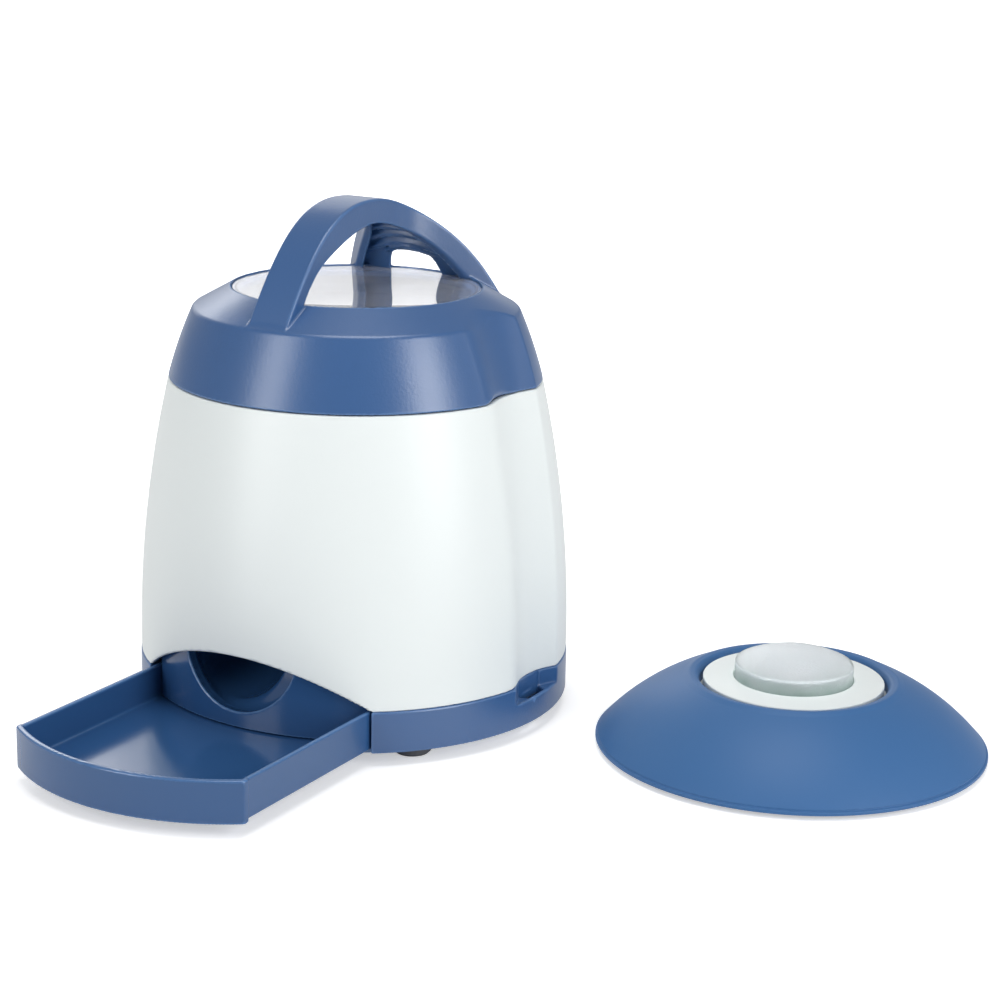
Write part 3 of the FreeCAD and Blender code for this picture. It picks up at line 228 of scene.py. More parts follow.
@dataclass(frozen=True)
class Corner:
    """A corner of a turned outline.

    Attributes:
        r: Radius from the axis.
        z: Height.
        round: Radius of the rounding at this corner.
        bulge: How far the side to the next corner bows out to its right.
    """

    r: float
    z: float
    round: float = 0.0
    bulge: float = 0.0


def arc_points(start: Array, end: Array, bulge: float, count: int) -> Array:
    """Points of an arc between two ends.

    Args:
        start: First point.
        end: Last point.
        bulge: Height of the arc over its chord, to the right of the way from start to end.
        count: Number of points, both ends included.

    Returns:
        The points, one per row.
    """
    t = np.linspace(0.0, 1.0, count)[:, None]
    if abs(bulge) < 1e-6:
        return start + t * (end - start)
    chord = end - start
    length = float(np.hypot(*chord))
    along = chord / length
    across = np.array([along[1], -along[0]])
    radius = (length**2 / 4 + bulge**2) / (2 * abs(bulge))
    half = math.asin(min(1.0, length / (2 * radius)))
    angle = (2 * t - 1) * half
    rise = radius * np.cos(angle) - radius * math.cos(half)
    return 0.5 * (start + end) + radius * np.sin(angle) * along + math.copysign(1.0, bulge) * rise * across


def side_normal(a: Array, b: Array) -> Array:
    """Unit normal to the right of the way from one point to another."""
    d = (b - a) / max(float(np.hypot(*(b - a))), 1e-9)
    return np.array([d[1], -d[0]])


def trimmed(side: Array, start: float, end: float) -> Array:
    """Cuts a length off both ends of a side.

    Args:
        side: The side's points, one per row.
        start: Length to cut off at its first point.
        end: Length to cut off at its last point.

    Returns:
        The points of what is left.
    """
    steps = np.hypot(*np.diff(side, axis=0).T)
    at = np.concatenate([[0.0], np.cumsum(steps)])
    inner = at[(at > start + 1e-6) & (at < at[-1] - end - 1e-6)]
    where = np.concatenate([[start], inner, [at[-1] - end]])
    return np.stack([np.interp(where, at, side[:, k]) for k in range(2)], axis=1)


def outline(corners: Sequence[Corner], closed: bool = True) -> tuple[Array, Array]:
    """Rounds the corners of an outline and finds its normals.

    Args:
        corners: Corners in order, with the solid on the left of the way round.
        closed: Whether the last corner joins the first.

    Returns:
        Points and their outward normals.
    """
    bowed_points = 33
    round_steps = 6
    n = len(corners)
    raw = [np.array([c.r, c.z], float) for c in corners]
    sides = []
    for i in range(n if closed else n - 1):
        c = corners[i]
        sides.append(arc_points(raw[i], raw[(i + 1) % n], c.bulge, bowed_points if c.bulge else 2))
    points: list[Array] = []
    normals: list[Array] = []

    cuts = []
    for i in range(n):
        if corners[i].round <= 0 or (not closed and i in (0, n - 1)):
            cuts.append(0.0)
            continue
        before, after = sides[i - 1], sides[i]
        a = side_normal(before[-2], before[-1])
        b = side_normal(after[0], after[1])
        turn = math.acos(float(np.clip(a @ b, -1, 1)))
        cuts.append(corners[i].round * math.tan(turn / 2))
    for i, side in enumerate(sides):
        j = (i + 1) % n
        piece = trimmed(side, cuts[i], cuts[j])
        last = len(piece) - 1
        before = [side_normal(piece[max(k - 1, 0)], piece[max(k, 1)]) for k in range(last + 1)]
        after = [side_normal(piece[min(k, last - 1)], piece[min(k + 1, last)]) for k in range(last + 1)]
        mean = np.array(before) + np.array(after)
        if len(piece) > 2:
            mean[0] = 1.5 * mean[0] - 0.5 * mean[1]
            mean[-1] = 1.5 * mean[-1] - 0.5 * mean[-2]
        mean /= np.hypot(*mean.T)[:, None]
        points.extend(piece)
        normals.extend(mean)
        if cuts[j] > 0 and (closed or j != 0):
            following = sides[j]
            next_normal = side_normal(following[0], following[1])
            last_normal = mean[-1]
            a0 = math.atan2(last_normal[1], last_normal[0])
            sweep = math.remainder(math.atan2(next_normal[1], next_normal[0]) - a0, 2 * math.pi)
            sign = math.copysign(1.0, sweep)
            centre = piece[-1] - sign * corners[j].round * last_normal
            for step in range(1, round_steps):
                angle = a0 + sweep * step / round_steps
                direction = np.array([math.cos(angle), math.sin(angle)])
                points.append(centre + sign * corners[j].round * direction)
                normals.append(direction)
    return np.array(points), np.array(normals)


def turned(corners: Sequence[Corner], segments: int = 192, closed: bool = True) -> Mesh:
    """Turns an outline about the vertical axis.

    Args:
        corners: The outline's corners.
        segments: Number of steps round the axis.
        closed: Whether the outline is a closed loop.

    Returns:
        Vertices, faces with -1 for a missing fourth corner, and vertex normals.
    """
    points, normals = outline(corners, closed)
    angle = np.linspace(0, 2 * math.pi, segments, endpoint=False)
    cos, sin = np.cos(angle)[:, None], np.sin(angle)[:, None]
    r, z = np.maximum(points[:, 0], 0.0)[None], np.broadcast_to(points[:, 1], (segments, len(points)))
    vertices = np.stack([r * cos, r * sin, z], axis=2).reshape(-1, 3)
    nr, nz = normals[:, 0][None], np.broadcast_to(normals[:, 1], (segments, len(points)))
    directions = np.stack([nr * cos, nr * sin, nz], axis=2).reshape(-1, 3)
    count = len(points)
    rows = np.arange(count if closed else count - 1)
    a = (np.arange(segments)[:, None] * count + rows[None]).ravel()
    following = (rows + 1) % count
    b = (np.arange(segments)[:, None] * count + following[None]).ravel()
    ahead = (np.arange(1, segments + 1) % segments)[:, None] * count
    c = (ahead + following[None]).ravel()
    d = (ahead + rows[None]).ravel()
    owner = np.arange(len(vertices))
    for pole in np.nonzero(points[:, 0] <= 0)[0]:
        owner[pole::count] = pole
        directions[pole] = (0.0, 0.0, math.copysign(1.0, normals[pole, 1]))
    faces = owner[np.stack([a, d, c, b], axis=1)]
    at_start, at_end = faces[:, 0] == faces[:, 1], faces[:, 2] == faces[:, 3]
    faces[at_start] = faces[at_start][:, [0, 2, 3, 3]]
    used, faces = np.unique(faces, return_inverse=True)
    faces = faces.reshape(-1, 4)
    faces[at_start | at_end, 3] = -1
    return vertices[used], faces, directions[used]


# Finishes


def node_group(
    name: str, inputs: Sequence[tuple[str, str, float]], outputs: Sequence[tuple[str, str]]
) -> tuple[bpy.types.NodeTree, bpy.types.Node, bpy.types.Node]:
    """Starts a shader node group with its sockets.

    Args:
        name: The group's name.
        inputs: Name, socket type and default of each input.
        outputs: Name and socket type of each output.

    Returns:
        The node tree, its input node and its output node.
    """
    tree = bpy.data.node_groups.new(name, "ShaderNodeTree")
    for label, kind, default in inputs:
        socket = tree.interface.new_socket(name=label, in_out="INPUT", socket_type=kind)
        socket.default_value = default
    for label, kind in outputs:
        tree.interface.new_socket(name=label, in_out="OUTPUT", socket_type=kind)
    return tree, tree.nodes.new("NodeGroupInput"), tree.nodes.new("NodeGroupOutput")


def grain_group() -> bpy.types.NodeTree:
    """A fine moulded grain: a bumped normal and a slow mottle for gloss.

    Returns:
        The node group.
    """
    tree, source, sink = node_group(
        "moulded_grain",
        [("Scale", "NodeSocketFloat", 900.0), ("Strength", "NodeSocketFloat", 0.1)],
        [("Normal", "NodeSocketVector"), ("Mottle", "NodeSocketFloat")],
    )
    place = tree.nodes.new("ShaderNodeTexCoord")
    fine = tree.nodes.new("ShaderNodeTexNoise")
    fine.inputs["Detail"].default_value = 3.0
    slow = tree.nodes.new("ShaderNodeTexNoise")
    slow.inputs["Scale"].default_value = 45.0
    slow.inputs["Detail"].default_value = 2.0
    bump = tree.nodes.new("ShaderNodeBump")
    bump.inputs["Distance"].default_value = 0.0003
    links = tree.links
    links.new(place.outputs["Object"], fine.inputs["Vector"])
    links.new(place.outputs["Object"], slow.inputs["Vector"])
    links.new(source.outputs["Scale"], fine.inputs["Scale"])
    links.new(source.outputs["Strength"], bump.inputs["Strength"])
    links.new(fine.outputs["Fac"], bump.inputs["Height"])
    links.new(bump.outputs["Normal"], sink.inputs["Normal"])
    links.new(slow.outputs["Fac"], sink.inputs["Mottle"])
    return tree


def painted_light_group() -> bpy.types.NodeTree:
    """Masks for painted light: a painted highlight along convex edges, and a darker, mottled band low on a
    part that paints in the green board seen through the lens.

    Returns:
        The node group.
    """
    tree, source, sink = node_group(
        "painted_light_masks",
        [("Low", "NodeSocketFloat", 0.0), ("High", "NodeSocketFloat", 1.0)],
        [("Painted edge highlight", "NodeSocketFloat"), ("Base", "NodeSocketFloat")],
    )
    shape = tree.nodes.new("ShaderNodeNewGeometry")
    # Painted highlight: convex edges, found by pointiness, lighten towards the edge colour
    edge = tree.nodes.new("ShaderNodeMapRange")
    edge.inputs["From Min"].default_value = 0.52
    edge.inputs["From Max"].default_value = 0.60
    place = tree.nodes.new("ShaderNodeTexCoord")
    parts = tree.nodes.new("ShaderNodeSeparateXYZ")
    blotches = tree.nodes.new("ShaderNodeTexNoise")
    blotches.inputs["Scale"].default_value = 160.0
    blotches.inputs["Detail"].default_value = 1.0
    # Band low on a part, mottled by noise; on the lens it paints in the board seen through it
    fall = tree.nodes.new("ShaderNodeMapRange")
    fall.inputs["To Min"].default_value = 1.0
    fall.inputs["To Max"].default_value = 0.0
    patch = tree.nodes.new("ShaderNodeMath")
    patch.operation = "MULTIPLY"
    links = tree.links
    links.new(shape.outputs["Pointiness"], edge.inputs["Value"])
    links.new(edge.outputs["Result"], sink.inputs["Painted edge highlight"])
    links.new(place.outputs["Object"], parts.inputs["Vector"])
    links.new(place.outputs["Object"], blotches.inputs["Vector"])
    links.new(parts.outputs["Z"], fall.inputs["Value"])
    links.new(source.outputs["Low"], fall.inputs["From Min"])
    links.new(source.outputs["High"], fall.inputs["From Max"])
    links.new(fall.outputs["Result"], patch.inputs[0])
    links.new(blotches.outputs["Fac"], patch.inputs[1])
    links.new(patch.outputs["Value"], sink.inputs["Base"])
    return tree


@dataclass(frozen=True)
class Finish:
    """A procedural finish for one material slot.

    Attributes:
        name: The material's name.
        colour: Linear base colour.
        roughness: Microfacet roughness.
        grain: Strength of the moulded grain's bump.
        grain_scale: Cells of grain per metre.
        metallic: Share of metal.
        coat: Weight of the clear top layer.
        coat_roughness: Roughness of that layer.
        sheen: Weight of the soft grazing sheen.
        sheen_tint: Colour of the sheen.
        transmission: Share of light that passes through.
        ior: Index of refraction.
        subsurface: Weight of light spread under the surface.
        edge: Colour towards which convex edges lighten, a painted highlight in place of light caught on their
            roundings.
        base: Colour that shows in mottled patches low on the part; on the lens a darker green, a painted view
            of the circuit board through it.
        base_height: Heights where that colour is full and gone, in metres.
    """

    name: str
    colour: Colour
    roughness: float = 0.45
    grain: float = 0.12
    grain_scale: float = 1100.0
    metallic: float = 0.0
    coat: float = 0.0
    coat_roughness: float = 0.1
    sheen: float = 0.0
    sheen_tint: Colour = (1.0, 1.0, 1.0)
    transmission: float = 0.0
    ior: float = 1.5
    subsurface: float = 0.0
    edge: Colour | None = None
    base: Colour | None = None
    base_height: tuple[float, float] = (0.0, 1.0)

    def paint_light(self, tree: bpy.types.NodeTree, painted_masks: bpy.types.NodeTree) -> None:
        """Mixes the edge colour, a painted highlight, or the base colour, a painted view of the board behind
        the lens, into the base colour socket.

        Args:
            tree: The material's node tree.
            painted_masks: The node group of the painted-light masks.
        """
        masks = tree.nodes.new("ShaderNodeGroup")
        masks.node_tree = painted_masks
        masks.inputs["Low"].default_value, masks.inputs["High"].default_value = self.base_height
        mix = tree.nodes.new("ShaderNodeMix")
        mix.data_type = "RGBA"
        mix.inputs["A"].default_value = (*self.colour, 1.0)
        mix.inputs["B"].default_value = (*(self.edge or self.base), 1.0)
        tree.links.new(masks.outputs["Painted edge highlight" if self.edge else "Base"], mix.inputs["Factor"])
        tree.links.new(mix.outputs["Result"], tree.nodes["Principled BSDF"].inputs["Base Color"])

    def build(self, grain: bpy.types.NodeTree, painted_masks: bpy.types.NodeTree) -> bpy.types.Material:
        """Makes the Blender material.

        Args:
            grain: The grain node group.
            painted_masks: The node group of the painted-light masks.

        Returns:
            The material.
        """
        material = bpy.data.materials.new(self.name)
        material.use_nodes = True
        tree = material.node_tree
        shader = tree.nodes["Principled BSDF"]
        texture = tree.nodes.new("ShaderNodeGroup")
        texture.node_tree = grain
        texture.inputs["Scale"].default_value = self.grain_scale
        texture.inputs["Strength"].default_value = self.grain
        gloss = tree.nodes.new("ShaderNodeMapRange")
        gloss.inputs["To Min"].default_value = max(self.roughness - 0.02, 0.0)
        gloss.inputs["To Max"].default_value = self.roughness + 0.02
        tree.links.new(texture.outputs["Mottle"], gloss.inputs["Value"])
        tree.links.new(gloss.outputs["Result"], shader.inputs["Roughness"])
        if self.grain > 0:
            tree.links.new(texture.outputs["Normal"], shader.inputs["Normal"])
        shader.inputs["Base Color"].default_value = (*self.colour, 1.0)
        if self.edge or self.base:
            self.paint_light(tree, painted_masks)
        shader.inputs["Metallic"].default_value = self.metallic
        shader.inputs["IOR"].default_value = self.ior
        shader.inputs["Coat Weight"].default_value = self.coat
        shader.inputs["Coat Roughness"].default_value = self.coat_roughness
        shader.inputs["Sheen Weight"].default_value = self.sheen
        shader.inputs["Sheen Tint"].default_value = (*self.sheen_tint, 1.0)
        shader.inputs["Transmission Weight"].default_value = self.transmission
        shader.inputs["Subsurface Weight"].default_value = self.subsurface
        shader.inputs["Subsurface Radius"].default_value = (0.003, 0.003, 0.003)
        if self.transmission > 0:
            path = tree.nodes.new("ShaderNodeLightPath")
            clear = tree.nodes.new("ShaderNodeMapRange")
            clear.inputs["To Min"].default_value = 1.0
            clear.inputs["To Max"].default_value = 1.0 - 0.9 * self.transmission
            tree.links.new(path.outputs["Is Shadow Ray"], clear.inputs["Value"])
            tree.links.new(clear.outputs["Result"], shader.inputs["Alpha"])
        return material


FINISH_LIST = (
    Finish("shell_white", (0.765, 0.81, 0.807), roughness=0.38, grain=0.04, subsurface=0.05),
    # The edge colours of the two blues are painted highlights along convex edges
    Finish("body_blue", (0.030, 0.096, 0.252), roughness=0.3, grain=0.14, ior=1.7, edge=(0.10, 0.22, 0.46)),
    Finish("tray_blue", (0.028, 0.088, 0.228), roughness=0.16, grain=0.02, ior=1.55, edge=(0.14, 0.30, 0.60)),
    Finish(
        "soft_blue",
        (0.035, 0.122, 0.300),
        roughness=0.48,
        grain=0.06,
        ior=1.42,
        sheen=0.05,
        sheen_tint=(0.8, 0.85, 1.0),
    ),
    Finish("clear_window", (0.95, 0.96, 1.0), roughness=0.02, grain=0.0, transmission=0.9, ior=1.55),
    Finish(
        "frosted_lens",
        (0.89, 0.91, 0.94),
        roughness=0.42,
        grain=0.55,
        grain_scale=1500.0,
        transmission=0.8,
        ior=1.4,
        subsurface=0.1,
        # Painted view of the green board through the frosted lens: a darker, greener, mottled band low on the
        # dome
        base=(0.50, 0.66, 0.60),
        base_height=(0.0235, 0.0285),
    ),
    Finish("inner_grey", (0.25, 0.27, 0.30), roughness=0.5),
    Finish("gear_white", (0.80, 0.78, 0.72), roughness=0.5),
    Finish("part_black", (0.01, 0.01, 0.012), roughness=0.45),
    Finish("board_green", (0.01, 0.12, 0.07), roughness=0.35, coat=0.4),
    Finish("rubber_grey", (0.10, 0.105, 0.115), roughness=0.7, grain=0.2),
    Finish("steel", (0.55, 0.56, 0.58), roughness=0.3, metallic=1.0, grain=0.03),
    Finish("brass", (0.65, 0.45, 0.16), roughness=0.3, metallic=1.0, grain=0.03),
    Finish("cell_wrap", (0.03, 0.035, 0.04), roughness=0.3, grain=0.02, coat=0.3),
)
FINISHES: dict[str, Finish] = {finish.name: finish for finish in FINISH_LIST}


@dataclass
class Workshop:
    """Makes and places pieces with their finishes.

    Attributes:
        materials: Materials by slot name.
    """

    materials: dict[str, bpy.types.Material]

    def place(
        self,
        name: str,
        mesh_data: Mesh,
        centre: tuple[float, float],
        slot: str,
        body: Body,
        stands_for: str,
    ) -> None:
        """Turns vertices, faces and normals into an object riding on a body.

        Args:
            name: The piece's name.
            mesh_data: Vertices in millimetres, faces of three or four corners, and vertex normals.
            centre: Where the local axis stands in the row frame, in millimetres.
            slot: Material slot of the piece.
            body: The body it rides on.
            stands_for: CAD node that it is shown for.
        """
        vertices, faces, normals = mesh_data
        corners = (faces >= 0).sum(axis=1)
        metres = (vertices + np.array([centre[0], centre[1], 0.0])) * MILLIMETRE
        mesh = bpy.data.meshes.new(name)
        mesh.vertices.add(len(metres))
        mesh.vertices.foreach_set("co", metres.astype(np.float32).ravel())
        mesh.loops.add(int(corners.sum()))
        mesh.loops.foreach_set("vertex_index", faces[faces >= 0].astype(np.int32))
        mesh.polygons.add(len(faces))
        mesh.polygons.foreach_set("loop_start", (np.cumsum(corners) - corners).astype(np.int32))
        mesh.update(calc_edges=True)
        mesh.polygons.foreach_set("use_smooth", np.ones(len(faces), bool))
        mesh.normals_split_custom_set_from_vertices(normals.astype(np.float32).tolist())
        mesh.materials.append(self.materials[slot])
        piece = bpy.data.objects.new(name, mesh)
        bpy.context.scene.collection.objects.link(piece)
        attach(piece, body.value)
        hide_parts(stands_for)
        log.info("%s: %d vertices", name, len(metres))


# Outer form shared by shell, ring and lid


@dataclass(frozen=True)
class Arc:
    """A circle in the radius and height plane.

    Attributes:
        r: Radius coordinate of its centre.
        z: Height of its centre.
        radius: Its radius.
    """

    r: float
    z: float
    radius: float

    @classmethod
    def through(cls, start: tuple[float, float], end: tuple[float, float], bulge: float) -> Arc:
        """The circle of an arc given by its ends and bulge.

        Args:
            start: First end.
            end: Last end.
            bulge: Height of the arc over its chord, to the right.

        Returns:
            The circle.
        """
        a, b = np.array(start), np.array(end)
        length = float(np.hypot(*(b - a)))
        along = (b - a) / length
        across = np.array([along[1], -along[0]])
        radius = (length**2 / 4 + bulge**2) / (2 * bulge)
        centre = 0.5 * (a + b) + (bulge - radius) * across
        return cls(float(centre[0]), float(centre[1]), radius)

    def distance(self, r: Array, z: Array) -> Array:
        """Signed distance from the circle, negative inside."""
        return np.hypot(r - self.r, z - self.z) - self.radius

    def at(self, z: float) -> float:
        """Radius from the axis at a height."""
        return self.r + math.sqrt(self.radius**2 - (z - self.z) ** 2)


@dataclass(frozen=True)
class Form:
    """The dispenser's outer form and its shared sizes, in millimetres.

    Attributes:
        base_radius: Radius of the base ring.
        foot_radius: Radius of the shell where it meets the ring.
        seam_radius: Radius of the shell and the lid at the seam between them.
        ridge_radius: Radius of the lid's band at its ridge.
        shell_bulge: How far the shell's side bows out.
        band_bulge: How far the lid band's side bows out.
        wall: Wall of the shell.
        ring_bottom: Height of the ring's lower edge.
        ring_top: Height of the ring's upper edge.
        seam: Height of the shell's upper edge.
        lid_bottom: Height of the lid's lower edge.
        ridge: Height where the lid's chamfer begins.
        rim: Height of the lid's rim round the window.
        window_radius: Radius of the window's recess.
        flute_chord: Half width of a flute.
        depth_low: Depth of a flute at the ring's upper edge.
        depth_high: Depth of a flute at the lid's lower edge.
        arch_half: Half width of the arch over the tray.
        arch_rise: Height of the arch over the ring.
    """

    base_radius: float = 70.0
    foot_radius: float = 69.8
    seam_radius: float = 60.0
    ridge_radius: float = 52.2
    shell_bulge: float = 2.7
    band_bulge: float = 0.47
    wall: float = 2.4
    ring_bottom: float = 4.3
    ring_top: float = 17.7
    seam: float = 107.6
    lid_bottom: float = 107.9
    ridge: float = 130.0
    rim: float = 137.0
    window_radius: float = 39.8
    flute_chord: float = 13.5
    depth_low: float = 5.1
    depth_high: float = 4.1
    arch_half: float = 41.6
    arch_rise: float = 14.3

    @property
    def shell(self) -> Arc:
        """The shell's side."""
        return Arc.through((self.foot_radius, self.ring_top), (self.seam_radius, self.seam), self.shell_bulge)

    @property
    def band(self) -> Arc:
        """The lid band's side."""
        upper = (self.ridge_radius, self.ridge)
        return Arc.through((self.seam_radius, self.lid_bottom), upper, self.band_bulge)

    def radius(self, z: float) -> float:
        """Outer radius at a height.

        Args:
            z: The height.

        Returns:
            The radius of the ring, the shell or the lid band there.
        """
        if z <= self.ring_top:
            return self.base_radius
        return self.shell.at(z) if z <= self.lid_bottom else self.band.at(z)

    def groove(self, x: Array, y: Array, z: Array, thicker: float = 0.0) -> Array:
        """Signed distance to the flutes on both sides, negative inside the groove.

        Args:
            x: Positions across, in millimetres.
            y: Positions towards the back.
            z: Heights.
            thicker: Wall to add round the groove.

        Returns:
            Signed distances, negative inside.
        """
        levels = np.array([self.ring_top, 40.0, 62.0, 85.0, self.lid_bottom, self.ridge, 145.0])
        degree = 4
        centres, radii = [], []
        for level in levels:
            outer = self.radius(float(level))
            share = (level - self.ring_top) / (self.lid_bottom - self.ring_top)
            depth = self.depth_low + share * (self.depth_high - self.depth_low)
            sag = math.sqrt(outer**2 - self.flute_chord**2) - (outer - depth)
            radius = (self.flute_chord**2 + sag**2) / (2 * sag)
            centres.append(outer - depth + radius)
            radii.append(radius)
        low = np.maximum(z, self.ring_top)
        centre = np.polyval(np.polyfit(levels, centres, degree), low)
        radius = np.polyval(np.polyfit(levels, radii, degree), low)
        return np.hypot(np.abs(x) - centre, y) - radius - thicker

    def edge_round(self, x: Array, y: Array) -> Array:
        """Rounding of the flutes' edges: soft in front, crisp behind."""
        return 1.6 + 1.2 * np.tanh(-y / 4.0)


FORM = Form()


@dataclass
class Casing:
    """White shell and blue base ring of the dispenser.

    Attributes:
        shop: Where its pieces are made.
        form: The dispenser's outer form.
        guide_outer: Outer side of the tray's guides, from the middle.
        stop_front: Front of the wall that ends the guides.
        stop_back: Back of that wall.
        inner_radius: Radius that the guides and their end wall reach.
        inner_bottom: Height where they begin.
        backing_radius: Radius that the wall behind a flute reaches.
        backing_bottom: Height where that wall begins.
        pocket_floor: Floor of the pocket that each flute ends in.
        slot_radii: Inner and outer end of the slot in that floor.
        slot_half: Half width of the slot at its inner end.
        slot_taper: How much the half width shrinks for each millimetre outwards.
        slot_bottom: Height where the slot begins.
    """

    shop: Workshop
    form: Form = FORM
    guide_outer: float = 43.6
    stop_front: float = 21.5
    stop_back: float = 23.5
    inner_radius: float = 68.8
    inner_bottom: float = 4.9
    backing_radius: float = 69.4
    backing_bottom: float = 9.8
    pocket_floor: float = 12.2
    slot_radii: tuple[float, float] = (65.2, 68.4)
    slot_half: float = 7.0
    slot_taper: float = 0.56
    slot_bottom: float = 8.0

    def shell_field(self, x: Array, y: Array, z: Array) -> Array:
        """Distance field of the white shell.

        Args:
            x: Positions across, in millimetres.
            y: Positions towards the back.
            z: Heights.

        Returns:
            Signed distances, negative inside.
        """
        form = self.form
        r = np.hypot(x, y)
        side = form.shell.distance(r, z)
        outer = smooth_max(side, -form.groove(x, y, z), form.edge_round(x, y))
        hollow = smooth_max(side + form.wall, -form.groove(x, y, z, form.wall), 2.0)
        body = smooth_max(outer, -hollow, 0.5)
        body = smooth_max(body, z - form.seam, 0.5)
        body = smooth_max(body, form.ring_top + 0.05 - z, 0.5)
        radius = (form.arch_half**2 + form.arch_rise**2) / (2 * form.arch_rise)
        arch = np.hypot(x, z - (form.ring_top + form.arch_rise - radius)) - radius
        return smooth_max(body, -np.maximum(arch, y), 0.6)

    def ring_field(self, x: Array, y: Array, z: Array) -> Array:
        """Distance field of the base ring with the tray's guides and the side pockets.

        Args:
            x: Positions across, in millimetres.
            y: Positions towards the back.
            z: Heights.

        Returns:
            Signed distances, negative inside.
        """
        form = self.form
        r = np.hypot(x, y)
        height = slab(z, form.ring_bottom, form.ring_top)
        ring = smooth_max(np.maximum(r - form.base_radius, form.base_radius - form.wall - r), height, 0.7)
        aside = np.abs(x)
        ring = smooth_max(ring, -np.maximum(aside - form.arch_half, y), 0.5)
        inner = np.maximum(slab(z, self.inner_bottom, form.ring_top - 0.1), r - self.inner_radius)
        guide = np.maximum(slab(aside, form.arch_half, self.guide_outer), y - self.stop_front)
        guide = np.maximum(guide, inner)
        back = np.maximum(slab(y, self.stop_front, self.stop_back), inner)
        ring = np.minimum(ring, np.minimum(guide, back))
        backing = np.maximum(form.groove(x, y, z, form.wall), slab(z, self.backing_bottom, form.ring_top))
        ring = np.minimum(ring, np.maximum(backing, r - self.backing_radius))
        pocket = smooth_max(form.groove(x, y, z), self.pocket_floor - z, 0.8)
        ring = smooth_max(ring, -pocket, 0.7)
        narrowing = (aside - self.slot_radii[0]) * self.slot_taper
        slot = np.maximum(slab(aside, *self.slot_radii), np.abs(y) - self.slot_half + narrowing)
        slot = np.maximum(slot, self.slot_bottom - z)
        return smooth_max(ring, -slot, 0.3)

    def build(self) -> None:
        """Adds the shell and the ring."""
        shell = surface_net(self.shell_field, (-72, -72, 16), (72, 72, 110), 0.75)
        self.shop.place("shell", shell, DISPENSER, "shell_white", Body.DISPENSER, "outer_shell")
        ring = surface_net(self.ring_field, (-72, -72, 2.5), (72, 72, 20), 0.6)
        self.shop.place("ring", ring, DISPENSER, "body_blue", Body.DISPENSER, "base_ring")


# The handle over the ridge: side view of its top and underside, and its half width in plan

HANDLE_TOP = (
    (-54.8, -6.5), (-49.5, 2.0), (-28.0, 26.9), (-1.0, 34.85), (12.0, 32.8),
    (21.0, 28.7), (29.0, 21.6), (35.0, 13.3), (39.0, 5.7), (43.0, -4.0),
)
HANDLE_LOW = (
    (-43.2, 1.5), (-40.0, 7.1), (-24.0, 20.5), (0.0, 26.9), (12.0, 24.7),
    (21.0, 20.5), (27.0, 14.6), (31.0, 8.8), (35.0, 2.0),
)
HANDLE_SIDE = (
    (-70.0, 7.2), (-25.0, 7.0), (-5.0, 7.0), (9.0, 7.1), (15.0, 7.9), (21.0, 10.9),
    (27.0, 16.1), (33.0, 22.1), (39.0, 28.0), (45.0, 33.8), (60.0, 48.0),
)


